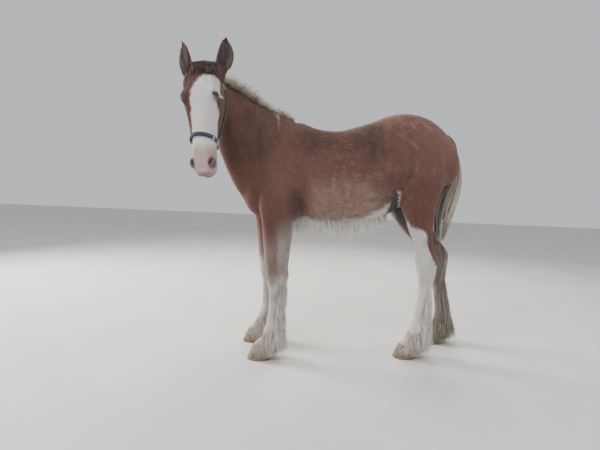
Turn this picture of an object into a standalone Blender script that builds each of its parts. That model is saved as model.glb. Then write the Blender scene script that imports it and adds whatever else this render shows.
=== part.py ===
"""A weanling clydesdale cross foal that stands still and looks round to its left.

Built at life size in metres, +Z up. The foal faces -X, its near (left) side is towards -Y and
its four hooves stand on z = 0. The flesh is lofted through named sections, blended into one
surface and parted with thin cuts into head, neck, torso and legs. Long hair grows from those
nodes as flat tapered locks, and the headcollar lies on the head in pieces of its own.
"""
import math
import random

import bmesh
import bpy
import numpy as np
from mathutils import Matrix, Vector
from mathutils.bvhtree import BVHTree

GAP = 0.0003            # clearance between nodes that touch
RING_SIDES = 24         # points round a section of the flesh

# Body heights and lengths along the foal, from which the sections below are laid out
WITHERS = 1.28
CROUP = 1.362
BREAST_X = -0.605
BUTTOCK_X = 0.603

# Centre planes of the four legs, near side negative
NEAR_FORE_Y = -0.150
OFF_FORE_Y = 0.135
NEAR_HIND_Y = -0.115
OFF_HIND_Y = 0.145

# Where the head hangs and how it is turned
HEAD_ORIGIN = Vector((-0.796, -0.386, 1.441))
HEAD_TURN = math.radians(74)        # heading, from straight ahead round to the near side
HEAD_PITCH = math.radians(2.5)      # line of the nose, forward of plumb
HEAD_TILT = math.radians(4.4)       # muzzle swung towards the foal's own left

# Eye, ear and hoof sizes
EYE_RADIUS = 0.0200
EYE_PLACE = (0.065, 0.034, 0.140)   # to the left, out of the face, down the face
EAR_LENGTH = 0.150
EAR_PLACE = (0.084, -0.034, 0.004)
EAR_BOW = 0.012                     # swing of the middle of the ear outwards

# Triangle budgets of the blended flesh
BODY_TRIANGLES = 3000
HEAD_TRIANGLES = 1350

for leftover in list(bpy.data.objects):
    bpy.data.objects.remove(leftover)

model = bpy.data.collections.new("clydesdale_cross_foal")
shapers = bpy.data.collections.new("shapers")
for collection in (model, shapers):
    bpy.context.scene.collection.children.link(collection)


# Surfaces from sections

def refine(rows, steps):
    """The rows with steps - 1 more between each two, along a Catmull-Rom curve."""
    rows = np.array(rows, float)
    padded = np.vstack([2 * rows[0] - rows[1], rows, 2 * rows[-1] - rows[-2]])
    finer = []
    for start in range(len(rows) - 1):
        a, b, c, d = padded[start:start + 4]
        for t in np.arange(steps) / steps:
            finer.append(b + 0.5 * t * (c - a + t * (2 * a - 5 * b + 4 * c - d
                                                     + t * (3 * (b - c) + d - a))))
    finer.append(rows[-1])
    return np.array(finer)


def section(half_width, top, bottom, widest, power, sides=RING_SIDES):
    """Across and up coordinates of a rounded section, fullest at the height called widest."""
    ring = []
    for angle in 2 * np.pi * np.arange(sides) / sides:
        across, up = np.sin(angle), np.cos(angle)
        reach = top - widest if up > 0 else widest - bottom
        ring.append((half_width * np.sign(across) * abs(across) ** (2 / power),
                     widest + reach * np.sign(up) * abs(up) ** (2 / power)))
    return ring


def loft(name, rings):
    """A closed mesh object through rings of points, all with the same count."""
    mesh = bmesh.new()
    rows = [[mesh.verts.new(Vector(point)) for point in ring] for ring in rings]
    for lower, upper in zip(rows, rows[1:]):
        for side in range(len(lower)):
            following = (side + 1) % len(lower)
            mesh.faces.new((lower[side], lower[following], upper[following], upper[side]))
    mesh.faces.new(rows[0])
    mesh.faces.new(rows[-1])
    bmesh.ops.recalc_face_normals(mesh, faces=mesh.faces)
    return mesh_object(name, mesh)


def mesh_object(name, mesh):
    """A shaper object from a bmesh, which is freed."""
    data = bpy.data.meshes.new(name)
    mesh.to_mesh(data)
    mesh.free()
    piece = bpy.data.objects.new(name, data)
    shapers.objects.link(piece)
    return piece


def ball(name, centre, radii, frame=Matrix.Identity(3), sides=14):
    """An ellipsoid with its three radii along the columns of the frame."""
    mesh = bmesh.new()
    bmesh.ops.create_uvsphere(mesh, u_segments=sides, v_segments=sides // 2 + 1, radius=1)
    placing = Matrix.Translation(centre) @ frame.to_4x4() @ Matrix.Diagonal((*radii, 1))
    bmesh.ops.transform(mesh, matrix=placing, verts=mesh.verts)
    return mesh_object(name, mesh)


def slab(name, centre, size, frame=Matrix.Identity(3)):
    """A box of full size given, with its edges along the columns of the frame."""
    mesh = bmesh.new()
    bmesh.ops.create_cube(mesh, size=1)
    placing = Matrix.Translation(centre) @ frame.to_4x4() @ Matrix.Diagonal((*size, 1))
    bmesh.ops.transform(mesh, matrix=placing, verts=mesh.verts)
    return mesh_object(name, mesh)


# Joining, cutting and parting

def applied(piece):
    """Fixes an object's modifiers in its mesh."""
    bpy.context.view_layer.update()
    graph = bpy.context.evaluated_depsgraph_get()
    fixed = bpy.data.meshes.new_from_object(piece.evaluated_get(graph))
    piece.modifiers.clear()
    piece.data = fixed
    return piece


def combine(piece, others, operation, solver="EXACT"):
    """Joins or cuts a mesh object by closed mesh objects, which are then removed."""
    tools = bpy.data.collections.new("tools of " + piece.name)
    bpy.context.scene.collection.children.link(tools)
    for other in others:
        tools.objects.link(other)
    step = piece.modifiers.new(operation.title(), "BOOLEAN")
    step.operation = operation
    step.operand_type = "COLLECTION"
    step.collection = tools
    step.solver = solver
    applied(piece)
    for other in others:
        bpy.data.objects.remove(other)
    bpy.data.collections.remove(tools)
    return piece


def islands(piece):
    """The faces of each connected surface of a mesh object, as lists of index tuples."""
    mesh = bmesh.new()
    mesh.from_mesh(piece.data)
    waiting = set(mesh.verts)
    groups = []
    while waiting:
        front = [waiting.pop()]
        members = set(front)
        while front:
            vertex = front.pop()
            for edge in vertex.link_edges:
                other = edge.other_vert(vertex)
                if other in waiting:
                    waiting.discard(other)
                    members.add(other)
                    front.append(other)
        groups.append(sorted(vertex.index for vertex in members))
    mesh.free()
    return sorted(groups)


def island_object(piece, members, name):
    """A new object with only the vertices of the piece that are listed."""
    mesh = bmesh.new()
    mesh.from_mesh(piece.data)
    kept = set(members)
    bmesh.ops.delete(mesh, geom=[v for v in mesh.verts if v.index not in kept], context="VERTS")
    return mesh_object(name, mesh)


def volume(piece):
    """Volume inside a mesh object's surface."""
    mesh = bmesh.new()
    mesh.from_mesh(piece.data)
    inside = mesh.calc_volume()
    mesh.free()
    return inside


def largest(piece):
    """Keeps only the largest closed surface of a mesh object."""
    name = piece.name
    pieces = [island_object(piece, group, name) for group in islands(piece)]
    best = max(pieces, key=volume)
    piece.data = best.data
    for scrap in pieces:
        bpy.data.objects.remove(scrap)
    return piece


def grown(piece, margin=GAP):
    """A copy of a mesh object swollen by the margin, to cut its neighbours clear of it."""
    copy = bpy.data.objects.new(piece.name + " clearance", piece.data.copy())
    shapers.objects.link(copy)
    for vertex, normal in zip(copy.data.vertices, [v.normal.copy() for v in piece.data.vertices]):
        vertex.co += normal * margin
    return copy


def blended(name, pieces, voxel, rounds, triangles):
    """One closed skin round all the pieces, with soft joints, near a count of triangles."""
    mesh = bmesh.new()
    for piece in pieces:
        mesh.from_mesh(piece.data)
        bpy.data.objects.remove(piece)
    flesh = mesh_object(name, mesh)
    remesh = flesh.modifiers.new("Blend", "REMESH")
    remesh.mode = "VOXEL"
    remesh.voxel_size = voxel
    soften = flesh.modifiers.new("Soften", "SMOOTH")
    soften.factor = 0.5
    soften.iterations = rounds
    applied(flesh)
    thin = flesh.modifiers.new("Thin", "DECIMATE")
    thin.ratio = triangles / (2 * len(flesh.data.polygons))
    thin.use_collapse_triangulate = True
    return largest(applied(flesh))


# Torso and neck

def torso_loft():
    """The trunk from breast to buttocks: x, top, bottom, half width, widest height, roundness."""
    stations = (
        (BREAST_X, 1.02, 0.86, 0.060, 0.93, 2.0),
        (-0.56, 1.16, 0.785, 0.120, 0.94, 2.0),
        (-0.50, 1.24, 0.745, 0.155, 0.94, 2.0),
        (-0.42, 1.275, 0.715, 0.180, 0.93, 1.9),
        (-0.30, WITHERS, 0.712, 0.195, 0.93, 1.8),
        (-0.20, 1.252, 0.720, 0.208, 0.95, 1.9),
        (-0.09, 1.246, 0.726, 0.220, 0.97, 2.1),
        (0.02, 1.276, 0.734, 0.225, 0.98, 2.1),
        (0.11, 1.308, 0.745, 0.224, 1.00, 2.1),
        (0.19, 1.343, 0.772, 0.220, 1.06, 2.1),
        (0.27, CROUP, 0.828, 0.218, 1.10, 2.1),
        (0.35, 1.360, 0.868, 0.212, 1.10, 2.1),
        (0.43, 1.336, 0.905, 0.198, 1.10, 2.1),
        (0.51, 1.280, 0.950, 0.172, 1.10, 2.0),
        (0.575, 1.195, 0.985, 0.125, 1.08, 2.0),
        (BUTTOCK_X, 1.125, 1.03, 0.060, 1.08, 2.0),
    )
    rings = []
    for x, top, bottom, half_width, widest, power in refine(stations, 3):
        rings.append([(x, y, z) for y, z in section(half_width, top, bottom, widest, power)])
    return loft("trunk", rings)


NECK_STATIONS = (
    # crest x, y, z, then throat x, y, z, then half width
    (-0.22, 0.000, 1.215, -0.42, 0.000, 0.800, 0.120),
    (-0.34, 0.000, 1.290, -0.555, 0.000, 0.810, 0.150),
    (-0.43, -0.020, 1.316, -0.622, -0.030, 0.885, 0.138),
    (-0.515, -0.075, 1.342, -0.665, -0.065, 0.965, 0.117),
    (-0.59, -0.140, 1.369, -0.698, -0.108, 1.045, 0.100),
    (-0.66, -0.205, 1.394, -0.720, -0.155, 1.120, 0.089),
    (-0.725, -0.262, 1.416, -0.728, -0.185, 1.190, 0.081),
    (-0.785, -0.330, 1.425, -0.750, -0.270, 1.240, 0.070),
)


def neck_loft():
    """The neck, which rises from the shoulders and bends round to the near side."""
    stations = refine(NECK_STATIONS, 3)
    centres = (stations[:, 0:3] + stations[:, 3:6]) / 2
    along = np.gradient(centres, axis=0)
    rings = []
    for station, centre, heading in zip(stations, centres, along):
        rise = (station[0:3] - station[3:6]) / 2
        half_depth = np.linalg.norm(rise)
        upward = rise / half_depth
        across = np.cross(heading, upward)
        across = across / np.linalg.norm(across)
        outline = section(station[6], half_depth, -half_depth, -0.1 * half_depth, 1.9)
        rings.append([tuple(centre + across * a + upward * u) for a, u in outline])
    return loft("neck flesh", rings)


# Legs

FORE_STATIONS = (
    # height, front x, rear x, half width, of the near fore leg without its long hair
    (1.02, -0.470, -0.270, 0.050),
    (0.90, -0.505, -0.270, 0.068),
    (0.80, -0.506, -0.290, 0.077),
    (0.72, -0.492, -0.312, 0.077),
    (0.62, -0.479, -0.327, 0.066),
    (0.52, -0.466, -0.337, 0.055),
    (0.46, -0.453, -0.340, 0.050),
    (0.42, -0.448, -0.341, 0.052),
    (0.37, -0.438, -0.350, 0.046),
    (0.32, -0.434, -0.364, 0.037),
    (0.25, -0.435, -0.367, 0.035),
    (0.19, -0.442, -0.366, 0.039),
    (0.15, -0.453, -0.364, 0.043),
    (0.11, -0.476, -0.385, 0.040),
    (0.08, -0.503, -0.402, 0.046),
    (0.03, -0.520, -0.410, 0.048),
)

HIND_STATIONS = (
    # height, front x, rear x, half width, of the near hind leg without its long hair
    (1.16, 0.260, 0.500, 0.060),
    (1.05, 0.215, 0.520, 0.090),
    (0.97, 0.218, 0.503, 0.102),
    (0.90, 0.238, 0.477, 0.096),
    (0.84, 0.267, 0.464, 0.085),
    (0.77, 0.300, 0.458, 0.072),
    (0.71, 0.322, 0.459, 0.062),
    (0.65, 0.350, 0.464, 0.053),
    (0.60, 0.360, 0.480, 0.046),
    (0.555, 0.366, 0.497, 0.045),
    (0.50, 0.379, 0.492, 0.049),
    (0.45, 0.392, 0.484, 0.045),
    (0.40, 0.398, 0.473, 0.039),
    (0.33, 0.395, 0.462, 0.036),
    (0.25, 0.383, 0.455, 0.036),
    (0.19, 0.372, 0.456, 0.040),
    (0.15, 0.360, 0.452, 0.044),
    (0.11, 0.336, 0.432, 0.041),
    (0.08, 0.312, 0.415, 0.046),
    (0.03, 0.295, 0.400, 0.048),
)

OFF_HIND_STATIONS = (
    # height, front x, rear x, half width, of the off hind leg, which is left behind
    (1.16, 0.260, 0.500, 0.060),
    (1.05, 0.215, 0.530, 0.090),
    (0.97, 0.220, 0.525, 0.100),
    (0.90, 0.236, 0.520, 0.095),
    (0.84, 0.258, 0.530, 0.084),
    (0.77, 0.300, 0.545, 0.072),
    (0.71, 0.350, 0.566, 0.062),
    (0.65, 0.415, 0.605, 0.053),
    (0.60, 0.475, 0.650, 0.047),
    (0.555, 0.530, 0.672, 0.045),
    (0.50, 0.557, 0.672, 0.049),
    (0.45, 0.572, 0.668, 0.045),
    (0.40, 0.583, 0.664, 0.039),
    (0.33, 0.597, 0.668, 0.036),
    (0.25, 0.610, 0.682, 0.036),
    (0.19, 0.616, 0.698, 0.040),
    (0.15, 0.614, 0.706, 0.044),
    (0.11, 0.596, 0.694, 0.041),
    (0.08, 0.574, 0.678, 0.046),
    (0.03, 0.558, 0.664, 0.048),
)

# name, stations, forward shift of the whole leg, centre plane, y of its root in the body
LEGS = (
    ("near_fore", FORE_STATIONS, 0.0, NEAR_FORE_Y, -0.115),
    ("off_fore", FORE_STATIONS, -0.028, OFF_FORE_Y, 0.110),
    ("near_hind", HIND_STATIONS, 0.0, NEAR_HIND_Y, -0.120),
    ("off_hind", OFF_HIND_STATIONS, 0.0, OFF_HIND_Y, 0.122),
)


def leg_rows(leg):
    """Height, front x, rear x, half width and centre y down one leg."""
    name, stations, shift, plane, root = leg
    root_height = stations[0][0]
    settled_height = 0.55
    rows = []
    for height, front, rear, half_width in stations:
        blend = min(1.0, max(0.0, (height - settled_height) / (root_height - settled_height)))
        rows.append((height, front + shift, rear + shift, half_width,
                     plane + (root - plane) * blend))
    return refine(rows, 2)


def leg_loft(leg):
    """One leg as level rings from inside the body down to inside the hoof."""
    rings = []
    for height, front, rear, half_width, plane in leg_rows(leg):
        middle, half_length = (front + rear) / 2, (rear - front) / 2
        outline = section(half_width, half_length, -half_length, 0, 2.2, sides=16)
        rings.append([(middle + along, plane + across, height) for across, along in outline])
    return loft(leg[0] + " flesh", rings)


# Head, in its own frame: x to the foal's left, y out of the face, z down to the muzzle

def head_frame():
    """Rotation whose columns are left, out of the face and down the face."""
    heading = Vector((-math.cos(HEAD_TURN), -math.sin(HEAD_TURN), 0))
    left = Vector((0, 0, 1)).cross(heading)
    down = heading * math.sin(HEAD_PITCH) - Vector((0, 0, 1)) * math.cos(HEAD_PITCH)
    swung = down * math.cos(HEAD_TILT) + left * math.sin(HEAD_TILT)
    side = left * math.cos(HEAD_TILT) - down * math.sin(HEAD_TILT)
    return Matrix((side, swung.cross(side), swung)).transposed()


HEAD = head_frame()


def on_head(left, out, down):
    """World place of a point given in the head's frame."""
    return HEAD_ORIGIN + HEAD @ Vector((left, out, down))


HEAD_STATIONS = (
    # down the face, front, back, half width, fullest line, roundness
    (-0.034, 0.000, -0.060, 0.028, -0.03, 2.0),
    (-0.020, 0.024, -0.092, 0.058, -0.03, 2.0),
    (0.010, 0.044, -0.118, 0.077, -0.03, 2.0),
    (0.050, 0.060, -0.140, 0.083, -0.02, 2.1),
    (0.095, 0.068, -0.158, 0.085, 0.00, 2.2),
    (0.135, 0.069, -0.168, 0.086, 0.01, 2.3),
    (0.175, 0.066, -0.172, 0.082, 0.00, 2.3),
    (0.220, 0.062, -0.164, 0.073, -0.01, 2.4),
    (0.265, 0.058, -0.140, 0.064, -0.01, 2.4),
    (0.310, 0.055, -0.112, 0.058, -0.01, 2.4),
    (0.355, 0.051, -0.092, 0.055, -0.01, 2.3),
    (0.400, 0.047, -0.082, 0.054, -0.01, 2.2),
    (0.440, 0.040, -0.078, 0.055, -0.01, 2.2),
    (0.472, 0.026, -0.072, 0.049, -0.02, 2.1),
    (0.492, 0.008, -0.060, 0.034, -0.02, 2.0),
)


def head_loft():
    """The skull and muzzle with brow, jowl, nostril wings and lips swelling from them."""
    rings = []
    for down, front, back, half_width, fullest, power in refine(HEAD_STATIONS, 2):
        outline = section(half_width, front, back, fullest, power)
        rings.append([tuple(on_head(across, out, down)) for across, out in outline])
    pieces = [loft("skull", rings)]
    for side in (-1, 1):
        swellings = (
            ("brow", (side * 0.058, 0.031, 0.138), (0.029, 0.034, 0.036)),
            ("jowl", (side * 0.046, -0.105, 0.165), (0.026, 0.062, 0.072)),
            ("cheekbone", (side * 0.052, 0.000, 0.225), (0.017, 0.018, 0.062)),
            ("nostril wing", (side * 0.040, 0.012, 0.430), (0.018, 0.024, 0.028)),
            ("ear root", (side * 0.064, -0.036, 0.032), (0.036, 0.034, 0.042)),
        )
        for name, place, radii in swellings:
            pieces.append(ball(name, on_head(*place), radii, HEAD))
    pieces.append(ball("upper lip", on_head(0, 0.006, 0.470), (0.036, 0.026, 0.028), HEAD))
    pieces.append(ball("lower lip", on_head(0, -0.052, 0.474), (0.030, 0.022, 0.024), HEAD))
    return pieces


def eye_place(side):
    """World centre of one eyeball, side 1 for the foal's left."""
    left, out, down = EYE_PLACE
    return on_head(side * left, out, down)


def eye_frame(side):
    """Columns along the lids, across the lids and out of the eye."""
    outward = Vector((side * 0.88, 0.46, -0.08)).normalized()
    along = Vector((-side * 0.46, 0.86, -0.20)).normalized()
    along = (along - outward * along.dot(outward)).normalized()
    return HEAD @ Matrix((along, outward.cross(along), outward)).transposed()


def face_details(head):
    """Cuts the eye sockets, lids' openings, nostrils and line of the mouth into the head."""
    lids = []
    hollows = []
    for side in (-1, 1):
        frame = eye_frame(side)
        centre = eye_place(side)
        lids.append(ball("lids", centre, (0.0265, 0.0255, 0.0245), frame, sides=12))
        hollows.append(ball("socket", centre, (EYE_RADIUS + GAP,) * 3, frame, sides=12))
        opening = centre + frame @ Vector((0, 0, EYE_RADIUS))
        hollows.append(ball("lid opening", opening, (0.0165, 0.0098, 0.012), frame, sides=10))
        nostril = on_head(side * 0.043, 0.027, 0.432)
        slant = HEAD @ Matrix.Rotation(side * math.radians(-24), 3, "Y")
        hollows.append(ball("nostril", nostril, (0.0085, 0.014, 0.0165), slant, sides=10))
    mouth = HEAD @ Matrix.Rotation(math.radians(-14), 3, "X")
    hollows.append(slab("mouth line", on_head(0, -0.027, 0.455), (0.14, 0.0026, 0.085), mouth))
    combine(head, lids, "UNION", solver="MANIFOLD")
    combine(head, hollows, "DIFFERENCE", solver="MANIFOLD")
    return largest(head)


# Ears

def ear(name, side, head):
    """A cupped leaf that opens forwards and outwards, with its foot on the head."""
    left, out, down = EAR_PLACE
    foot = Vector((side * left, out, down))
    splay = math.radians(8) * side
    upward = Vector((math.sin(splay), -0.05, -math.cos(splay))).normalized()
    opening = Vector((side * 0.60, 0.80, 0)).normalized()
    opening = (opening - upward * opening.dot(upward)).normalized()
    across = upward.cross(opening)
    # share of the length, half width, half depth, lean towards the opening
    leaf = refine(((-0.16, 0.020, 0.020, 0.000), (0.00, 0.029, 0.027, 0.000),
                   (0.18, 0.037, 0.028, -0.003), (0.42, 0.039, 0.026, -0.006),
                   (0.66, 0.032, 0.020, -0.005), (0.86, 0.018, 0.012, 0.000),
                   (1.00, 0.0015, 0.0015, 0.007)), 2)
    outer, inner = [], []
    for share, half_width, half_depth, lean in leaf:
        bow = Vector((side * EAR_BOW * math.sin(math.pi * max(0.0, share)), 0, 0))
        centre = foot + upward * share * EAR_LENGTH + opening * lean + bow
        outer.append([tuple(on_head(*(centre + across * a + opening * o))) for a, o in
                      section(half_width, half_depth, -half_depth, 0, 2.0, sides=10)])
        if 0.05 < share < 0.96:
            hollow = centre + opening * (0.55 * half_depth)
            inner.append([tuple(on_head(*(hollow + across * a + opening * o))) for a, o in
                          section(0.86 * half_width, 1.1 * half_depth, -1.15 * half_depth, 0,
                                  2.0, sides=10)])
    pinna = loft(name, outer)
    combine(pinna, [loft("cup", inner)], "DIFFERENCE")
    combine(pinna, [grown(head)], "DIFFERENCE", solver="MANIFOLD")
    return largest(pinna)


# Hooves

HOOF_HEIGHT_FRONT = 0.078
HOOF_HEIGHT_HEEL = 0.046


def hoof_shape(leg):
    """Front and rear x at the coronet and on the ground, for one leg."""
    rows = leg_rows(leg)
    front = float(np.interp(-0.075, -rows[:, 0], rows[:, 1]))
    rear = float(np.interp(-0.055, -rows[:, 0], rows[:, 2]))
    return front - 0.003, rear + 0.002, front - 0.034, rear - 0.004


def coronet_frame(leg):
    """Middle of the coronet and the frame whose third column is square to it."""
    front, rear, toe, heel = hoof_shape(leg)
    slope = Vector((rear - front, 0, HOOF_HEIGHT_HEEL - HOOF_HEIGHT_FRONT)).normalized()
    middle = Vector(((front + rear) / 2, leg[3], (HOOF_HEIGHT_FRONT + HOOF_HEIGHT_HEEL) / 2))
    side = Vector((0, 1, 0))
    return middle, Matrix((slope, side, slope.cross(side))).transposed()


def hoof(leg):
    """A flat-soled hoof, rounder and wider on the ground than at the coronet."""
    front, rear, toe, heel = hoof_shape(leg)
    middle, frame = coronet_frame(leg)
    rim = (Vector((rear, 0, HOOF_HEIGHT_HEEL)) - Vector((front, 0, HOOF_HEIGHT_FRONT))).length
    top = [middle + frame @ Vector((along, across, 0)) for across, along in
           section(0.050, rim / 2, -rim / 2, 0, 2.2, sides=20)]
    ground_middle, ground_half = (toe + heel) / 2, (heel - toe) / 2
    sole = [Vector((ground_middle + along, leg[3] + across, 0)) for across, along in
            section(0.060, ground_half, -ground_half, 0, 2.3, sides=20)]
    wall = [a.lerp(b, 0.88) for a, b in zip(top, sole)]
    rings = [[tuple(point) for point in ring] for ring in (top, wall, sole)]
    return loft("hoof_" + leg[0], rings)


def below_coronet(leg):
    """A block that takes the flesh away below the coronet of one leg."""
    middle, frame = coronet_frame(leg)
    depth = 0.20
    return slab("below coronet", middle + frame @ Vector((0, 0, GAP - depth / 2)),
                (0.24, 0.17, depth), frame)


# Thin cuts that part the body

def frame_through(start, end, side=Vector((0, 1, 0))):
    """Frame with its first column from start to end and its second along the side."""
    along = (Vector(end) - Vector(start)).normalized()
    level = (side - along * side.dot(along)).normalized()
    return Matrix((along, level, along.cross(level))).transposed()


def cut_between(name, start, end, width, side=Vector((0, 1, 0))):
    """A slab as thin as the gap, from start to end and of that width sideways."""
    start, end = Vector(start), Vector(end)
    frame = frame_through(start, end, side)
    return slab(name, (start + end) / 2, ((end - start).length, width, GAP), frame)


def body_cuts():
    """The cuts between head, neck, torso, legs and their upper and lower parts."""
    cuts = [
        cut_between("poll", on_head(0, -0.060, -0.155), on_head(0, -0.240, 0.371), 0.36,
                    HEAD @ Vector((1, 0, 0))),
        cut_between("neck root", (-0.30, 0, 1.37), (-0.66, 0, 0.80), 0.60),
        cut_between("elbows", (-0.60, 0, 0.697), (-0.24, 0, 0.697), 0.60),
        cut_between("stifles", (0.225, 0, 0.782), (0.68, 0, 1.010), 0.60),
    ]
    for name, height, half_length in (("near_fore", 0.475, 0.12), ("off_fore", 0.475, 0.12),
                                      ("near_hind", 0.590, 0.14), ("off_hind", 0.590, 0.16)):
        leg = next(leg for leg in LEGS if leg[0] == name)
        rows = leg_rows(leg)
        middle = float(np.interp(-height, -rows[:, 0], (rows[:, 1] + rows[:, 2]) / 2))
        cuts.append(cut_between("joint of " + name, (middle - half_length, leg[3], height),
                                (middle + half_length, leg[3], height), 0.18))
    return cuts


NODE_PLACES = {
    # a point inside each node of flesh
    "head": tuple(on_head(0, -0.02, 0.22)),
    "neck": (-0.60, -0.10, 1.17),
    "torso": (0.0, 0.0, 1.0),
    "forearm_near_fore": (-0.405, NEAR_FORE_Y, 0.60),
    "forearm_off_fore": (-0.433, OFF_FORE_Y, 0.60),
    "cannon_near_fore": (-0.40, NEAR_FORE_Y, 0.28),
    "cannon_off_fore": (-0.43, OFF_FORE_Y, 0.28),
    "gaskin_near_hind": (0.39, NEAR_HIND_Y, 0.72),
    "gaskin_off_hind": (0.44, OFF_HIND_Y, 0.72),
    "cannon_near_hind": (0.43, NEAR_HIND_Y, 0.32),
    "cannon_off_hind": (0.635, OFF_HIND_Y, 0.32),
}


def centre_of(piece):
    """Middle of a mesh object's box."""
    corners = np.array([tuple(v.co) for v in piece.data.vertices])
    return Vector((corners.min(axis=0) + corners.max(axis=0)) / 2)


def flesh_nodes():
    """Head, neck, torso and parts of the legs from one blended body, and its ray finder."""
    body = blended("body", [torso_loft(), neck_loft()] + [leg_loft(leg) for leg in LEGS],
                   0.011, 4, BODY_TRIANGLES)
    head = blended("skull", head_loft(), 0.006, 4, HEAD_TRIANGLES)
    face_details(head)
    combine(body, [head], "UNION", solver="MANIFOLD")
    meet = surface_finder(body)
    combine(body, [below_coronet(leg) for leg in LEGS], "DIFFERENCE", solver="MANIFOLD")
    combine(body, body_cuts(), "DIFFERENCE", solver="MANIFOLD")
    pieces = [island_object(body, group, "part") for group in islands(body)]
    pieces.sort(key=volume, reverse=True)
    nodes = {}
    for piece in pieces[:len(NODE_PLACES)]:
        middle = centre_of(piece)
        name = min((n for n in NODE_PLACES if n not in nodes),
                   key=lambda n: (Vector(NODE_PLACES[n]) - middle).length)
        piece.name = name
        nodes[name] = piece
    for scrap in pieces[len(NODE_PLACES):]:
        bpy.data.objects.remove(scrap)
    bpy.data.objects.remove(body)
    return nodes, meet


# Long hair: flat tapered locks over low cores

LOCK_THICKNESS = 0.005
MANE_LENGTH = 0.080
FORELOCK_LENGTH = 0.045
CORE_SHARE = 0.45       # how far the cores reach towards the tips of the hair
draw = random.Random(7)


def ribbon(points, faces, widths, thicknesses):
    """A lock through the points, flat square to the faces, with a low ridge on its outside."""
    rings = []
    for index, point in enumerate(points):
        before = points[max(0, index - 1)]
        after = points[min(len(points) - 1, index + 1)]
        across = (after - before).cross(faces[index]).normalized() * (widths[index] / 2)
        lift = faces[index].normalized() * thicknesses[index]
        rings.append([tuple(point + offset) for offset in (across, lift, -across)])
    return loft("lock", rings)


def lock(root, outward, lie, length, width, sink=0.010, turn=1.6):
    """A lock that leaves its root outwards and bends over into the lie of the coat."""
    steps = 4
    outward, lie = outward.normalized(), lie.normalized()
    point = root - outward * sink
    points = [point]
    for step in range(steps):
        share = min(1.0, turn * (step + 0.5) / steps)
        run = outward.lerp(lie, share).normalized()
        point = point + run * ((length + sink) / steps)
        points.append(point)
    face = outward if abs(outward.dot(lie)) < 0.9 else outward.orthogonal().normalized()
    taper = (0.75, 1.0, 0.85, 0.55, 0.08)
    return ribbon(points, [face] * (steps + 1), [width * t for t in taper],
                  [LOCK_THICKNESS * t for t in (1.0, 1.0, 0.8, 0.5, 0.2)])


def vary(value, share=0.15):
    """A value made up to that share longer or shorter."""
    return value * (1 + share * draw.uniform(-1, 1))


def along_crest(share):
    """Crest point, upward and rearward directions at a share of the way to the poll."""
    stations = refine(NECK_STATIONS[1:-1], 4)
    spot = share * (len(stations) - 1)
    index = min(int(spot), len(stations) - 2)
    row = stations[index] + (stations[index + 1] - stations[index]) * (spot - index)
    crest, throat = Vector(row[0:3]), Vector(row[3:6])
    rearward = Vector(stations[index][0:3]) - Vector(stations[index + 1][0:3])
    return crest, (crest - throat).normalized(), rearward.normalized()


def mane():
    """Short bristling locks along the crest, parted to both sides, and one longer wisp."""
    locks = []
    pairs = 10
    for index in range(pairs):
        share = 0.03 + 0.93 * index / (pairs - 1)
        crest, upward, rearward = along_crest(share)
        side = upward.cross(rearward).normalized()
        for way in (-1, 1):
            root = crest + side * (0.007 * way) + rearward * (0.011 * way)
            outward = upward + side * (0.45 * way) + rearward * draw.uniform(0.0, 0.3)
            lie = side * (0.55 * way) + rearward * 0.45 - upward * 0.75
            locks.append(lock(root, outward, lie, vary(MANE_LENGTH), vary(0.054), turn=1.5))
    crest, upward, rearward = along_crest(0.22)
    near = Vector((0, -1, 0))
    locks.append(lock(crest + near * 0.012, near + upward * 0.6, near * 0.45 - upward,
                      0.125, 0.022, turn=2.2))
    return locks


def forelock():
    """Short tufts that fall from the poll between the ears."""
    locks = []
    for left in (-0.020, 0.0, 0.020):
        root = on_head(left, -0.012, -0.024)
        outward = HEAD @ Vector((left * 4, 0.75, -0.65))
        lie = HEAD @ Vector((left * 6, 0.45, 0.90))
        locks.append(lock(root, outward, lie, vary(FORELOCK_LENGTH), vary(0.030), turn=1.5))
    return locks


FRINGE_TIPS = ((-0.295, 0.690), (-0.265, 0.640), (-0.21, 0.668), (-0.156, 0.682),
               (-0.076, 0.682), (-0.012, 0.630), (0.04, 0.672), (0.10, 0.692),
               (0.153, 0.714), (0.213, 0.756))


def belly_height(x):
    """Height of the skin under the belly."""
    return 0.735 + max(0.0, x - 0.10) * 0.42


def fringe_core():
    """The root of the long pale hair under the belly."""
    rings = []
    for x, tip in refine(FRINGE_TIPS, 2):
        skin = belly_height(x)
        bottom = skin + (tip - skin) * CORE_SHARE
        half_width = 0.055 * math.sin(math.pi * min(1, max(0, (x + 0.33) / 0.60))) ** 0.5
        rings.append([(x, y, z) for y, z in section(half_width, skin + 0.02, bottom, skin, 1.6,
                                                    sides=10)])
    return loft("fringe core", rings)


def fringe():
    """Locks that hang from the belly between the fore and hind legs."""
    locks = []
    rows = ((-0.078, -0.5), (0.0, 0.0), (0.078, 0.5))
    tips = np.array(FRINGE_TIPS)
    for row, (y, spread) in enumerate(rows):
        for index in range(9):
            x = -0.288 + 0.060 * index + 0.028 * (row % 2) + draw.uniform(-0.006, 0.006)
            outer = abs(y) > 0.05
            skin = belly_height(x) + (0.004 if outer else -0.008)
            tip = float(np.interp(x + 0.012, tips[:, 0], tips[:, 1]))
            length = vary(skin - tip, 0.08)
            locks.append(lock(Vector((x, y, skin)), Vector((0.05, spread * 0.4, -1)),
                              Vector((0.30, -spread * 0.3, -1)), length, vary(0.064),
                              sink=0.020))
    return locks


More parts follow.
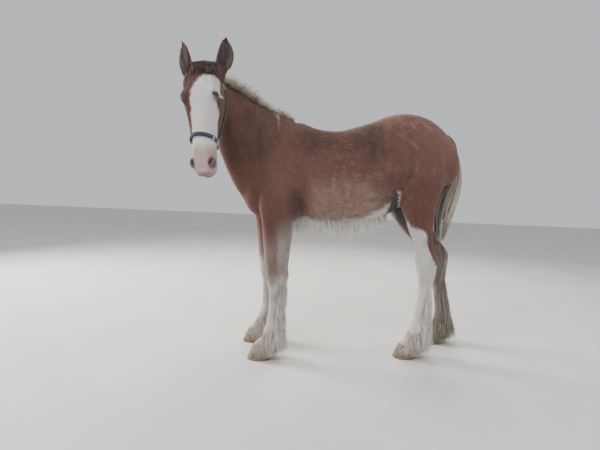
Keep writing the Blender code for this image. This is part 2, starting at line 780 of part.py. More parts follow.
def feather_rear(leg, height, angle):
    """Point on one cannon at an angle from straight behind, and the direction out of it."""
    rows = leg_rows(leg)
    front, rear, half_width = (float(np.interp(-height, -rows[:, 0], rows[:, column]))
                               for column in (1, 2, 3))
    middle, half_length = (front + rear) / 2, (rear - front) / 2
    outward = Vector((math.cos(angle), math.sin(angle), 0))
    return Vector((middle + half_length * outward.x, leg[3] + half_width * outward.y,
                   height)), outward


FEATHER_ROWS = (
    # height of the roots, length, width, angles to either side of straight behind
    (0.370, 0.095, 0.034, (0,)),
    (0.295, 0.110, 0.040, (-40, 40)),
    (0.220, 0.125, 0.048, (-62, 0, 62)),
    (0.150, 0.130, 0.055, (-38, 38)),
    (0.125, 0.108, 0.056, (-128, -82, 82, 128)),
)


def feather_core(leg):
    """The root of the long hair behind one cannon and over its heel."""
    rings = []
    rows = leg_rows(leg)
    for height, depth, spread in ((0.36, 0.004, 0.018), (0.24, 0.018, 0.026),
                                  (0.15, 0.024, 0.036), (0.09, 0.034, 0.044),
                                  (0.06, 0.030, 0.040)):
        rear = float(np.interp(-height, -rows[:, 0], rows[:, 2]))
        rings.append([(x, leg[3] + y, height) for y, x in
                      section(spread, rear + depth, rear - 0.028, rear, 2.0, sides=10)])
    return loft("feather core", rings)


def feather(leg):
    """Locks behind one cannon that reach over the heel and the sides of the hoof."""
    locks = []
    for height, length, width, angles in FEATHER_ROWS:
        for degrees in angles:
            root, outward = feather_rear(leg, height, math.radians(degrees + vary(4, 1)))
            reach = min(vary(length, 0.08), height - 0.010)
            drift = outward * 0.20 + Vector((0.10, 0, 0))
            locks.append(lock(root, outward * 0.7 + Vector((0, 0, -0.9)),
                              drift + Vector((0, 0, -1)), reach, vary(width), turn=1.8))
    return locks


TAIL_STATIONS = (
    # height, front x, rear x, half width
    (1.262, 0.500, 0.560, 0.024), (1.225, 0.530, 0.603, 0.030), (1.165, 0.560, 0.630, 0.036),
    (1.09, 0.580, 0.645, 0.042), (0.99, 0.562, 0.657, 0.046), (0.90, 0.532, 0.645, 0.048),
    (0.80, 0.516, 0.618, 0.042), (0.70, 0.517, 0.594, 0.030), (0.646, 0.540, 0.572, 0.010),
)
TAIL_CORE_END = 1.00


def tail_core():
    """The dock and the thick upper part of the tail, tapered half way down."""
    rings = []
    for height, front, rear, half_width in refine(TAIL_STATIONS, 2):
        if height < TAIL_CORE_END:
            break
        thin = 1 - 0.55 * (1.262 - height) / (1.262 - TAIL_CORE_END)
        middle, half_length = (front + rear) / 2, (rear - front) / 2 * thin
        rings.append([(middle + along, across, height) for across, along in
                      section(half_width * thin, half_length, -half_length, 0, 2.0, sides=10)])
    return loft("tail", rings)


def tail_locks():
    """Long locks that hang from the dock and narrow together to the end of the tail."""
    rows = refine(TAIL_STATIONS, 3)
    locks = []
    count = 13
    for index in range(count):
        angle = 2.4 * index
        root_height = 1.200 - 0.235 * index / (count - 1)
        tip_height = max(0.648, root_height - vary(0.43, 0.22))
        points, faces = [], []
        steps = 6
        for step in range(steps + 1):
            share = step / steps
            height = root_height + (tip_height - root_height) * share
            front, rear, half_width = (float(np.interp(-height, -rows[:, 0], rows[:, column]))
                                       for column in (1, 2, 3))
            spread = 0.25 + 0.60 * min(1, share * 3)
            outward = Vector((math.cos(angle), math.sin(angle), 0))
            points.append(Vector(((front + rear) / 2 + (rear - front) / 2 * spread * outward.x,
                                  half_width * spread * outward.y, height)))
            faces.append(outward)
        taper = (0.7, 1.0, 1.0, 0.9, 0.7, 0.45, 0.08)
        width = vary(0.042)
        locks.append(ribbon(points, faces, [width * t for t in taper],
                            [0.011 * (0.3 + 0.7 * t) for t in taper[:-1]] + [0.0012]))
    return locks


def tail_node(torso, legs):
    """The tail, clear of the buttocks and hind legs."""
    tail = tail_core()
    combine(tail, tail_locks(), "UNION", solver="MANIFOLD")
    combine(tail, [grown(torso)] + [grown(leg) for leg in legs], "DIFFERENCE",
            solver="MANIFOLD")
    return largest(tail)


# Headcollar

STRAP_WIDTH = 0.020
STRAP_THICKNESS = 0.004
REACH_FROM_INSIDE = 0.15    # wider than the head, short of the neck beside it
STRAP_LIFT = 0.003      # from the coat to the strap's inner face
FITTING_THICKNESS = 0.005
NOSE_CENTRE = (0, -0.020, 0.337)
NOSE_RISE = (0, 0.95, -0.31)        # the noseband climbs from its rings to the bridge
CROWN_CENTRE = (0, -0.098, 0.060)
CHEEK_LINE = ((-0.095, 0.078), (-0.098, 0.140), (-0.096, 0.210), (-0.082, 0.270),
              (-0.052, 0.312))


def surface_finder(piece):
    """A function that meets a mesh object along a ray towards a point inside it."""
    tree = BVHTree.FromPolygons([v.co.copy() for v in piece.data.vertices],
                                [tuple(p.vertices) for p in piece.data.polygons])

    def meet(inside, direction):
        start = inside + direction.normalized() * REACH_FROM_INSIDE
        return tree.ray_cast(start, -direction.normalized())[0]

    return meet


def strap(name, places, outs, width=STRAP_WIDTH, thickness=STRAP_THICKNESS):
    """A flat strap whose inner face runs through the places, square to the outs."""
    rings = []
    for index, (place, out) in enumerate(zip(places, outs)):
        before = places[max(0, index - 1)]
        after = places[min(len(places) - 1, index + 1)]
        along = (after - before).normalized()
        outward = (out - along * out.dot(along)).normalized()
        across = along.cross(outward)
        half = across * (width / 2)
        rings.append([tuple(point) for point in (
            place - half, place + half, place + half * 0.8 + outward * thickness,
            place - half * 0.8 + outward * thickness)])
    return loft(name, rings)


def wrap(meet, centre, first, second, start, end, steps):
    """Places and outs round a centre in the head, from the first direction to the second."""
    places, outs = [], []
    for angle in np.radians(np.linspace(start, end, steps + 1)):
        outward = HEAD @ (Vector(first) * math.cos(angle) + Vector(second) * math.sin(angle))
        place = meet(on_head(*centre), outward)
        places.append(place + outward * STRAP_LIFT)
        outs.append(outward)
    return places, outs


def down_the_cheek(meet, side):
    """Places and outs of one cheekpiece, from behind the ear to the ring on the noseband."""
    places, outs = [], []
    for out, down in refine(CHEEK_LINE, 4):
        outward = HEAD @ Vector((side, 0, 0))
        place = meet(on_head(0, out, down), outward)
        places.append(place + outward * STRAP_LIFT)
        outs.append(outward)
    return places, outs


def fitting(name, place, out, along, size, bar):
    """A flat metal frame that lies on the coat, with its opening between two straps."""
    outward = (out - along * out.dot(along)).normalized()
    frame = Matrix((along, outward.cross(along), outward)).transposed()
    length, width = size
    centre = place + outward * (FITTING_THICKNESS / 2)
    metal = slab(name, centre, (length, width, FITTING_THICKNESS), frame)
    opening = slab("opening", centre, (length - 2 * bar, width - 2 * bar, 0.02), frame)
    return combine(metal, [opening], "DIFFERENCE")


def headcollar(meet):
    """Noseband, chin strap, cheekpieces and crownpiece, with a metal frame at each join."""
    straps, metal = [], []
    nose, outs = wrap(meet, NOSE_CENTRE, NOSE_RISE, (1, 0, 0), -86, 86, 18)
    straps.append(strap("noseband", nose, outs))
    chin, outs = wrap(meet, NOSE_CENTRE, NOSE_RISE, (1, 0, 0), 118, 242, 12)
    straps.append(strap("chin_strap", chin, outs))
    crown, outs = wrap(meet, CROWN_CENTRE, (0, 0, -1), (1, 0, 0), -90, 90, 14)
    straps.append(strap("crownpiece", crown, outs))
    for name, side in (("near", 1), ("off", -1)):
        cheek, outs = down_the_cheek(meet, side)
        straps.append(strap("cheekpiece_" + name, cheek, outs))
        ring, ring_outs = wrap(meet, NOSE_CENTRE, NOSE_RISE, (side, 0, 0), 94, 110, 2)
        along = (ring[2] - ring[0]).normalized()
        metal.append(fitting("nose_ring_" + name, ring[1], ring_outs[1], along,
                             (0.024, 0.030), 0.005))
        upper, upper_outs = cheek[0], outs[0]
        lower = crown[-1] if side > 0 else crown[0]
        metal.append(fitting("crown_buckle_" + name, (upper + lower) / 2, upper_outs,
                             (upper - lower).normalized(), (0.013, 0.028), 0.003))
    return straps, metal


# Finish

COATS = {
    # colour, roughness and metallic value of each kind of surface
    "chestnut coat": ((0.26, 0.105, 0.045), 0.85, 0.0),
    "white leg coat": ((0.66, 0.60, 0.52), 0.88, 0.0),
    "horn": ((0.50, 0.38, 0.28), 0.60, 0.0),
    "eye": ((0.02, 0.013, 0.010), 0.10, 0.0),
    "grey and flaxen tail hair": ((0.36, 0.30, 0.24), 0.80, 0.0),
    "navy webbing": ((0.020, 0.026, 0.045), 0.75, 0.0),
    "nickel": ((0.62, 0.61, 0.58), 0.30, 1.0),
}


def dress(piece, kind):
    """Moves a finished piece into the model with a material of its own."""
    colour, roughness, metallic = COATS[kind]
    material = bpy.data.materials.new(piece.name + " " + kind)
    material.use_nodes = True
    surface = material.node_tree.nodes["Principled BSDF"]
    surface.inputs["Base Color"].default_value = (*colour, 1)
    surface.inputs["Roughness"].default_value = roughness
    surface.inputs["Metallic"].default_value = metallic
    piece.data.materials.clear()
    piece.data.materials.append(material)
    shapers.objects.unlink(piece)
    model.objects.link(piece)
    return piece


def settle():
    """Moves every node so that the origin is under the middle of the foal's box."""
    corners = np.array([tuple(v.co) for piece in model.objects for v in piece.data.vertices])
    low, high = corners.min(axis=0), corners.max(axis=0)
    shift = Vector(((low[0] + high[0]) / 2, (low[1] + high[1]) / 2, low[2]))
    for piece in model.objects:
        piece.location = -shift


def build():
    """Makes every node."""
    nodes, meet = flesh_nodes()
    neck, torso = nodes["neck"], nodes["torso"]
    combine(neck, mane(), "UNION", solver="MANIFOLD")
    combine(neck, [grown(torso), grown(nodes["head"])], "DIFFERENCE", solver="MANIFOLD")
    largest(neck)
    combine(torso, [fringe_core()] + fringe(), "UNION", solver="MANIFOLD")
    largest(torso)
    combine(nodes["head"], forelock(), "UNION", solver="MANIFOLD")
    largest(nodes["head"])
    hooves = []
    for leg in LEGS:
        horn = hoof(leg)
        hooves.append(horn)
        cannon = nodes["cannon_" + leg[0]]
        combine(cannon, [feather_core(leg)] + feather(leg), "UNION", solver="MANIFOLD")
        combine(cannon, [grown(horn)], "DIFFERENCE", solver="MANIFOLD")
        largest(cannon)
    head = nodes["head"]
    ears = [ear("ear_near", 1, head), ear("ear_off", -1, head)]
    for piece in nodes.values():
        dress(piece, "white leg coat" if piece.name.startswith("cannon") else "chestnut coat")
    for piece in ears:
        dress(piece, "chestnut coat")
    for piece in hooves:
        dress(piece, "horn")
    hind = [nodes[name] for name in ("gaskin_near_hind", "gaskin_off_hind")]
    dress(tail_node(torso, hind), "grey and flaxen tail hair")
    for name, side in (("eye_near", 1), ("eye_off", -1)):
        dress(ball(name, eye_place(side), (EYE_RADIUS,) * 3, eye_frame(side), sides=12), "eye")
    straps, metal = headcollar(meet)
    for piece in straps + metal:
        combine(piece, [grown(head), grown(nodes["neck"])], "DIFFERENCE", solver="MANIFOLD")
        dress(largest(piece), "navy webbing" if piece in straps else "nickel")


build()
settle()
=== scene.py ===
"""Looks of a weanling clydesdale cross foal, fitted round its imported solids.

Shapes are worked out in the foal's own frame, as in the part's source: it faces -X, its near
(left) side is towards -Y and the floor is z = 0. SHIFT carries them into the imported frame.
"""
import math

import bmesh
import bpy
import numpy as np
from mathutils import Matrix, Vector
from mathutils.bvhtree import BVHTree


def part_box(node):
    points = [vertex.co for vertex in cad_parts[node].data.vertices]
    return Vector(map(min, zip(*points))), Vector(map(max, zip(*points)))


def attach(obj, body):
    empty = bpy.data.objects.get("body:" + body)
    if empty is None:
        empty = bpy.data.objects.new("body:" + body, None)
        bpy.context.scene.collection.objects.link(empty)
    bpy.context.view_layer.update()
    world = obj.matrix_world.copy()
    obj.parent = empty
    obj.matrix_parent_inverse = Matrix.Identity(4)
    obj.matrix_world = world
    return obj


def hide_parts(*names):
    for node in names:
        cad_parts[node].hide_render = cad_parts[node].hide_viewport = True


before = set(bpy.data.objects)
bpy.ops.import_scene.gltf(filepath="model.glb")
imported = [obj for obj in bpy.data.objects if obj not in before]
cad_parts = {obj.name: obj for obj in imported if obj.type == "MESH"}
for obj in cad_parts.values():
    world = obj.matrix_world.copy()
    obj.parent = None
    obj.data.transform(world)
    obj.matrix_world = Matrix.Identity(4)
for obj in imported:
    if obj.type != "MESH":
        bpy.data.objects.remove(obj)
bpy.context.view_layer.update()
DRAW = np.random.default_rng(11)    # every random number comes from here, in the file's order


# Numbers and vectors

def unit(vectors):
    """The vectors at length one."""
    return vectors / np.maximum(np.linalg.norm(vectors, axis=-1, keepdims=True), 1e-9)


def ramp(low, high, value):
    """Smooth step from 0 at low to 1 at high."""
    t = np.clip((value - low) / (high - low), 0, 1)
    return t * t * (3 - 2 * t)


def bell(value, centre, width):
    """A bell of height one round the centre."""
    return np.exp(-((value - centre) / width) ** 2)


def round_angles(sides):
    """Angles evenly round a circle."""
    return 2 * np.pi * np.arange(sides) / sides


def mix(first, second, share):
    """From the first value to the second by a share for each point."""
    share = np.asarray(share, float)
    if np.ndim(first) > 0 and np.shape(first)[-1] == 3 and share.ndim > 0:
        share = share[..., None]
    return first + (second - first) * share


def cell_values(cells, seed):
    """A number from -1 to 1 for each whole-numbered cell, the same one each time."""
    mixed = (cells[..., 0] * 374761393 + cells[..., 1] * 668265263
             + cells[..., 2] * 1274126177 + seed * 974634777) & 0xFFFFFFFF
    mixed = ((mixed ^ (mixed >> 15)) * 739982445) & 0xFFFFFFFF
    mixed = mixed ^ (mixed >> 13)
    return (mixed & 0xFFFF) / 32767.5 - 1


def noise(points, size, seed):
    """Smooth noise from -1 to 1: cell values blended across cells of that size."""
    spot = points / size + 1000
    cell = np.floor(spot).astype(np.int64)
    part = spot - cell
    part = part * part * (3 - 2 * part)
    total = np.zeros(len(points))
    for corner in range(8):
        offset = np.array([corner & 1, (corner >> 1) & 1, corner >> 2])
        weight = np.prod(np.where(offset == 1, part, 1 - part), axis=1)
        total += weight * cell_values(cell + offset, seed)
    return total


def refine(rows, steps):
    """The rows with steps - 1 more between each two, along a Catmull-Rom curve."""
    rows = np.array(rows, float)
    padded = np.vstack([2 * rows[0] - rows[1], rows, 2 * rows[-1] - rows[-2]])
    a, b, c, d = padded[:-3], padded[1:-2], padded[2:-1], padded[3:]
    t = (np.arange(steps) / steps)[None, :, None]
    a, b, c, d = a[:, None], b[:, None], c[:, None], d[:, None]
    finer = b + 0.5 * t * (c - a + t * (2 * a - 5 * b + 4 * c - d + t * (3 * (b - c) + d - a)))
    return np.vstack([finer.reshape(-1, rows.shape[1]), rows[-1]])


def sections(half_width, top, bottom, widest, power, sides):
    """Across and up of rounded outlines, one row each.

    Each is a superellipse |a / half_width| ** power + |u / reach| ** power = 1, with the upper
    and the lower half reaching from the widest height to the top and to the bottom.
    """
    angle = round_angles(sides)
    across, up = np.sin(angle)[None], np.cos(angle)[None]
    rows = np.atleast_1d(half_width).shape
    half_width, top, bottom, widest, power = (
        np.broadcast_to(np.atleast_1d(value).astype(float), rows)[:, None]
        for value in (half_width, top, bottom, widest, power))
    reach = np.where(up > 0, top - widest, widest - bottom)
    return (half_width * np.sign(across) * np.abs(across) ** (2 / power),
            widest + reach * np.sign(up) * np.abs(up) ** (2 / power))


# Places on the foal

HEAD_ORIGIN = np.array([-0.796, -0.386, 1.441])
HEAD_TURN, HEAD_PITCH, HEAD_TILT = (math.radians(a) for a in (74, 2.5, 4.4))
EYE_RADIUS = 0.0200
EYE_PLACE = (0.065, 0.034, 0.140)   # to the left, out of the face, down the face
NOSTRIL_PLACE = (0.048, 0.022, 0.434)
NOSTRIL_RADII = (0.017, 0.034, 0.028)
EAR_LENGTH = 0.150
EAR_PLACE = (0.084, -0.034, 0.004)
EAR_BOW = 0.012                     # swing of the middle of the ear outwards
SIDES = (("near", 1), ("off", -1))


def head_frame():
    """Rotation whose columns are left, out of the face and down the face."""
    heading = Vector((-math.cos(HEAD_TURN), -math.sin(HEAD_TURN), 0))
    left = Vector((0, 0, 1)).cross(heading)
    down = heading * math.sin(HEAD_PITCH) - Vector((0, 0, 1)) * math.cos(HEAD_PITCH)
    swung = down * math.cos(HEAD_TILT) + left * math.sin(HEAD_TILT)
    side = left * math.cos(HEAD_TILT) - down * math.sin(HEAD_TILT)
    return np.array(Matrix((side, swung.cross(side), swung)).transposed())


HEAD = head_frame()


def on_head(places):
    """Body places of points given as left, out and down on the head."""
    return HEAD_ORIGIN + np.asarray(places, float) @ HEAD.T


def in_head(points):
    """Left, out and down on the head of body places."""
    return (points - HEAD_ORIGIN) @ HEAD


def to_the_left(local):
    """Places on the head with those on its right side mirrored to its left."""
    return np.column_stack([np.abs(local[:, 0]), local[:, 1:]])


def from_the_eye(local):
    """How far places on the head are from the middle of the eye on their side."""
    return np.linalg.norm(to_the_left(local) - EYE_PLACE, axis=1)


def eye_centre(side):
    """Middle of one eyeball, side 1 for the foal's left."""
    return on_head((side * EYE_PLACE[0], EYE_PLACE[1], EYE_PLACE[2]))


def eye_axes(side):
    """Columns along the lids, across the lids and out of the eye."""
    outward = unit(np.array([side * 0.82, 0.56, -0.08]))
    along = np.array([-side * 0.56, 0.80, -0.20])
    along = unit(along - outward * (along @ outward))
    return HEAD @ np.stack([along, np.cross(outward, along), outward], axis=1)


eye_low, eye_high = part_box("eye_near")
SHIFT = (np.array(eye_low) + np.array(eye_high)) / 2 - eye_centre(1)

NECK_STATIONS = (
    # crest x, y, z, then throat x, y, z, then half width
    (-0.22, 0.000, 1.215, -0.42, 0.000, 0.800, 0.120),
    (-0.34, 0.000, 1.290, -0.555, 0.000, 0.810, 0.150),
    (-0.43, -0.020, 1.316, -0.622, -0.030, 0.885, 0.138),
    (-0.515, -0.075, 1.342, -0.665, -0.065, 0.965, 0.117),
    (-0.59, -0.140, 1.369, -0.698, -0.108, 1.045, 0.100),
    (-0.66, -0.205, 1.394, -0.720, -0.155, 1.120, 0.089),
    (-0.725, -0.262, 1.416, -0.728, -0.185, 1.190, 0.081),
    (-0.785, -0.330, 1.425, -0.750, -0.270, 1.240, 0.070),
)
TORSO_STATIONS = (
    # x, top, bottom, half width, widest height, roundness
    (-0.605, 1.02, 0.86, 0.060, 0.93, 2.0),
    (-0.56, 1.16, 0.785, 0.120, 0.94, 2.0),
    (-0.50, 1.24, 0.745, 0.155, 0.94, 2.0),
    (-0.42, 1.275, 0.715, 0.180, 0.93, 1.9),
    (-0.30, 1.28, 0.712, 0.195, 0.93, 1.8),
    (-0.20, 1.252, 0.720, 0.208, 0.95, 1.9),
    (-0.09, 1.246, 0.726, 0.220, 0.97, 2.1),
    (0.02, 1.276, 0.734, 0.225, 0.98, 2.1),
    (0.11, 1.308, 0.745, 0.224, 1.00, 2.1),
    (0.19, 1.343, 0.772, 0.220, 1.06, 2.1),
    (0.27, 1.362, 0.828, 0.218, 1.10, 2.1),
    (0.35, 1.360, 0.868, 0.212, 1.10, 2.1),
    (0.43, 1.336, 0.905, 0.198, 1.10, 2.1),
    (0.51, 1.280, 0.950, 0.172, 1.10, 2.0),
    (0.575, 1.195, 0.985, 0.125, 1.08, 2.0),
    (0.603, 1.125, 1.03, 0.060, 1.08, 2.0),
)
HEAD_STATIONS = (
    # down the face, front, back, half width, fullest line, roundness
    (-0.034, 0.000, -0.060, 0.028, -0.03, 2.0),
    (-0.020, 0.024, -0.092, 0.058, -0.03, 2.0),
    (0.010, 0.044, -0.118, 0.077, -0.03, 2.0),
    (0.050, 0.060, -0.140, 0.083, -0.02, 2.1),
    (0.095, 0.068, -0.158, 0.085, 0.00, 2.2),
    (0.135, 0.069, -0.168, 0.086, 0.01, 2.3),
    (0.175, 0.066, -0.172, 0.082, 0.00, 2.3),
    (0.220, 0.062, -0.164, 0.073, -0.01, 2.4),
    (0.265, 0.058, -0.140, 0.064, -0.01, 2.4),
    (0.310, 0.055, -0.112, 0.058, -0.01, 2.4),
    (0.355, 0.051, -0.092, 0.055, -0.01, 2.3),
    (0.400, 0.047, -0.082, 0.054, -0.01, 2.2),
    (0.440, 0.040, -0.078, 0.055, -0.01, 2.2),
    (0.472, 0.026, -0.072, 0.049, -0.02, 2.1),
    (0.492, 0.008, -0.060, 0.034, -0.02, 2.0),
)
FORE_STATIONS = (
    # height, front x, rear x, half width, of the near fore leg without its long hair
    (1.02, -0.470, -0.270, 0.050),
    (0.90, -0.505, -0.270, 0.068),
    (0.80, -0.506, -0.290, 0.077),
    (0.72, -0.492, -0.312, 0.077),
    (0.62, -0.479, -0.327, 0.066),
    (0.52, -0.466, -0.337, 0.055),
    (0.46, -0.453, -0.340, 0.050),
    (0.42, -0.448, -0.341, 0.052),
    (0.37, -0.438, -0.350, 0.046),
    (0.32, -0.434, -0.364, 0.037),
    (0.25, -0.435, -0.367, 0.035),
    (0.19, -0.442, -0.366, 0.039),
    (0.15, -0.453, -0.364, 0.043),
    (0.11, -0.476, -0.385, 0.040),
    (0.08, -0.503, -0.402, 0.046),
    (0.03, -0.520, -0.410, 0.048),
)
HIND_STATIONS = (
    # height, front x, rear x, half width, of the near hind leg without its long hair
    (1.16, 0.260, 0.500, 0.060),
    (1.05, 0.215, 0.520, 0.090),
    (0.97, 0.218, 0.503, 0.102),
    (0.90, 0.238, 0.477, 0.096),
    (0.84, 0.267, 0.464, 0.085),
    (0.77, 0.300, 0.458, 0.072),
    (0.71, 0.322, 0.459, 0.062),
    (0.65, 0.350, 0.464, 0.053),
    (0.60, 0.360, 0.480, 0.046),
    (0.555, 0.366, 0.497, 0.045),
    (0.50, 0.379, 0.492, 0.049),
    (0.45, 0.392, 0.484, 0.045),
    (0.40, 0.398, 0.473, 0.039),
    (0.33, 0.395, 0.462, 0.036),
    (0.25, 0.383, 0.455, 0.036),
    (0.19, 0.372, 0.456, 0.040),
    (0.15, 0.360, 0.452, 0.044),
    (0.11, 0.336, 0.432, 0.041),
    (0.08, 0.312, 0.415, 0.046),
    (0.03, 0.295, 0.400, 0.048),
)
OFF_HIND_STATIONS = (
    # height, front x, rear x, half width, of the off hind leg, which is left behind
    (1.16, 0.260, 0.500, 0.060),
    (1.05, 0.215, 0.530, 0.090),
    (0.97, 0.220, 0.525, 0.100),
    (0.90, 0.236, 0.520, 0.095),
    (0.84, 0.258, 0.530, 0.084),
    (0.77, 0.300, 0.545, 0.072),
    (0.71, 0.350, 0.566, 0.062),
    (0.65, 0.415, 0.605, 0.053),
    (0.60, 0.475, 0.650, 0.047),
    (0.555, 0.530, 0.672, 0.045),
    (0.50, 0.557, 0.672, 0.049),
    (0.45, 0.572, 0.668, 0.045),
    (0.40, 0.583, 0.664, 0.039),
    (0.33, 0.597, 0.668, 0.036),
    (0.25, 0.610, 0.682, 0.036),
    (0.19, 0.616, 0.698, 0.040),
    (0.15, 0.614, 0.706, 0.044),
    (0.11, 0.596, 0.694, 0.041),
    (0.08, 0.574, 0.678, 0.046),
    (0.03, 0.558, 0.664, 0.048),
)
# name, stations, forward shift of the whole leg, centre plane, y of its root in the body
LEGS = (
    ("near_fore", FORE_STATIONS, 0.0, -0.150, -0.115),
    ("off_fore", FORE_STATIONS, -0.028, 0.135, 0.110),
    ("near_hind", HIND_STATIONS, 0.0, -0.115, -0.120),
    ("off_hind", OFF_HIND_STATIONS, 0.0, 0.145, 0.122),
)
FORE_TOP = 0.70     # where the forelegs leave the body


def leg_rows(leg, steps=2):
    """Height, front x, rear x, half width and centre y down one leg."""
    stations, shift, plane, root = leg[1:]
    table = np.array(stations)
    blend = np.clip((table[:, 0] - 0.55) / (table[0, 0] - 0.55), 0, 1)
    rows = np.column_stack([table[:, 0], table[:, 1] + shift, table[:, 2] + shift, table[:, 3],
                            plane + (root - plane) * blend])
    return refine(rows, steps)


def leg_place(leg, height):
    """Front x, rear x, half width and centre y of one leg at each height."""
    rows = leg_rows(leg)
    return [np.interp(-height, -rows[:, 0], rows[:, column]) for column in (1, 2, 3, 4)]


def across_leg(leg, points):
    """Share from a leg's front to its rear, distance beside its centre plane and half width."""
    front, rear, half_width, plane = leg_place(leg, points[:, 2])
    return (points[:, 0] - front) / (rear - front), points[:, 1] - plane, half_width


def round_leg(leg, points):
    """Angle round the middle line of a leg."""
    front, rear, _, plane = leg_place(leg, points[:, 2])
    return np.arctan2(points[:, 1] - plane, points[:, 0] - (front + rear) / 2)


# Meshes

def placed(name, data):
    """An object of the scene that holds the data."""
    piece = bpy.data.objects.new(name, data)
    bpy.context.scene.collection.objects.link(piece)
    return piece


def recalculated(piece):
    """Turns the faces of a closed piece outwards."""
    mesh = bmesh.new()
    mesh.from_mesh(piece.data)
    bmesh.ops.recalc_face_normals(mesh, faces=mesh.faces)
    mesh.to_mesh(piece.data)
    mesh.free()
    return piece


def mesh_object(name, points, faces, smooth=True):
    """A mesh object from body places and an array of faces that all have as many corners."""
    mesh = bpy.data.meshes.new(name)
    corners = faces.shape[1]
    mesh.vertices.add(len(points))
    mesh.vertices.foreach_set("co", np.asarray(points + SHIFT, np.float32).ravel())
    mesh.loops.add(faces.size)
    mesh.loops.foreach_set("vertex_index", faces.astype(np.int32).ravel())
    mesh.polygons.add(len(faces))
    mesh.polygons.foreach_set("loop_start", np.arange(0, faces.size, corners, dtype=np.int32))
    mesh.polygons.foreach_set("use_smooth", np.full(len(faces), smooth))
    mesh.update(calc_edges=True)
    return placed(name, mesh)


def paint(piece, colours):
    """Keeps a colour for each point of a piece, for its material to read."""
    layer = piece.data.color_attributes.new("coat", "FLOAT_COLOR", "POINT")
    layer.data.foreach_set("color", np.column_stack([colours, np.ones(len(colours))])
                           .astype(np.float32).ravel())


def spread(piece, uvs, name="UVMap"):
    """Keeps a place on the flat for each point of a piece."""
    layer = piece.data.uv_layers.new(name=name)
    corners = np.zeros(len(piece.data.loops), np.int32)
    piece.data.loops.foreach_get("vertex_index", corners)
    layer.data.foreach_set("uv", uvs[corners].astype(np.float32).ravel())


def grid_faces(rows, sides):
    """Quads between rows of points, round each row."""
    index = np.arange(rows * sides).reshape(rows, sides)
    following = np.roll(index, -1, axis=1)
    return np.stack([index[:-1], following[:-1], following[1:], index[1:]], axis=-1).reshape(-1, 4)


def tube_parts(rings):
    """Points and faces of a tube through rings, closed by a middle point at each end."""
    rows, sides = rings.shape[:2]
    points = np.vstack([rings.reshape(-1, 3), rings[0].mean(axis=0), rings[-1].mean(axis=0)])
    faces = [tuple(quad) for quad in grid_faces(rows, sides)]
    for side in range(sides):
        following = (side + 1) % sides
        faces.append((following, side, rows * sides))
        last = (rows - 1) * sides
        faces.append((last + side, last + following, rows * sides + 1))
    return points, faces


def shaper(name, rings):
    """A closed tube to join or cut with, in the foal's own frame."""
    points, faces = tube_parts(rings)
    data = bpy.data.meshes.new(name)
    data.from_pydata([tuple(p) for p in points], [], faces)
    return recalculated(placed(name, data))


def closed_tube(name, rings):
    """A closed tube of triangles through rings, facing outwards."""
    points, faces = tube_parts(rings)
    triangles = [face[:3] for face in faces] + [(f[0], f[2], f[3]) for f in faces if len(f) == 4]
    return recalculated(mesh_object(name, points, np.array(triangles)))


def closed_ring(name, rings):
    """A tube whose last ring joins its first, facing outwards."""
    rows, sides = rings.shape[:2]
    index = np.arange(rows * sides).reshape(rows, sides)
    following = np.roll(index, -1, axis=0)
    quads = np.stack([index, np.roll(index, -1, 1), np.roll(following, -1, 1), following], axis=-1)
    return recalculated(mesh_object(name, rings.reshape(-1, 3), quads.reshape(-1, 4)))


def swept(path, across, outward, profile):
    """Rings of a profile of across and out values, one at each point of a path."""
    return (path[:, None] + across[:, None] * profile[None, :, :1]
            + outward[:, None] * profile[None, :, 1:])


def globe(rows, sides, edge):
    """Angles from a pole and round it, and the points there on a sphere of radius one."""
    latitude = np.linspace(edge, np.pi - edge, rows)[:, None]
    longitude = round_angles(sides)[None]
    local = np.stack([np.sin(latitude) * np.cos(longitude), np.sin(latitude) * np.sin(longitude),
                      np.cos(latitude) + 0 * longitude], axis=-1)
    return latitude, longitude, local


def ball(name, centre, radii, axes):
    """An ellipsoid with its radii along the columns of the axes."""
    local = globe(16, 32, 0.02)[2] * np.array(radii)
    return shaper(name, np.asarray(centre) + local @ axes.T)


def slab(name, centre, size, axes):
    """A block of full size given, with its edges along the columns of the axes."""
    corners = np.array([(-1, -1), (1, -1), (1, 1), (-1, 1)]) / 2
    rings = np.array([[(a, b, end) for a, b in corners] for end in (-0.5, 0.5)]) * np.array(size)
    return shaper(name, np.asarray(centre) + rings @ axes.T)


def applied(piece):
    """Fixes an object's modifiers in its mesh."""
    bpy.context.view_layer.update()
    graph = bpy.context.evaluated_depsgraph_get()
    fixed = bpy.data.meshes.new_from_object(piece.evaluated_get(graph))
    piece.modifiers.clear()
    piece.data = fixed
    return piece


def combine(piece, others, operation, solver="MANIFOLD"):
    """Joins or cuts an object by others, which are then removed."""
    tools = bpy.data.collections.new("tools")
    bpy.context.scene.collection.children.link(tools)
    for other in others:
        tools.objects.link(other)
    step = piece.modifiers.new("Boolean", "BOOLEAN")
    step.operation, step.operand_type, step.solver = operation, "COLLECTION", solver
    step.collection = tools
    applied(piece)
    for other in others:
        bpy.data.objects.remove(other)
    bpy.data.collections.remove(tools)
    return piece


def blended(name, pieces, voxel, rounds):
    """One closed skin round all the pieces, with soft joints."""
    mesh = bmesh.new()
    for piece in pieces:
        mesh.from_mesh(piece.data)
        bpy.data.objects.remove(piece)
    data = bpy.data.meshes.new(name)
    mesh.to_mesh(data)
    mesh.free()
    flesh = placed(name, data)
    remesh = flesh.modifiers.new("Blend", "REMESH")
    remesh.mode, remesh.voxel_size = "VOXEL", voxel
    soften = flesh.modifiers.new("Soften", "SMOOTH")
    soften.factor, soften.iterations = 0.5, rounds
    return applied(flesh)


# Skin

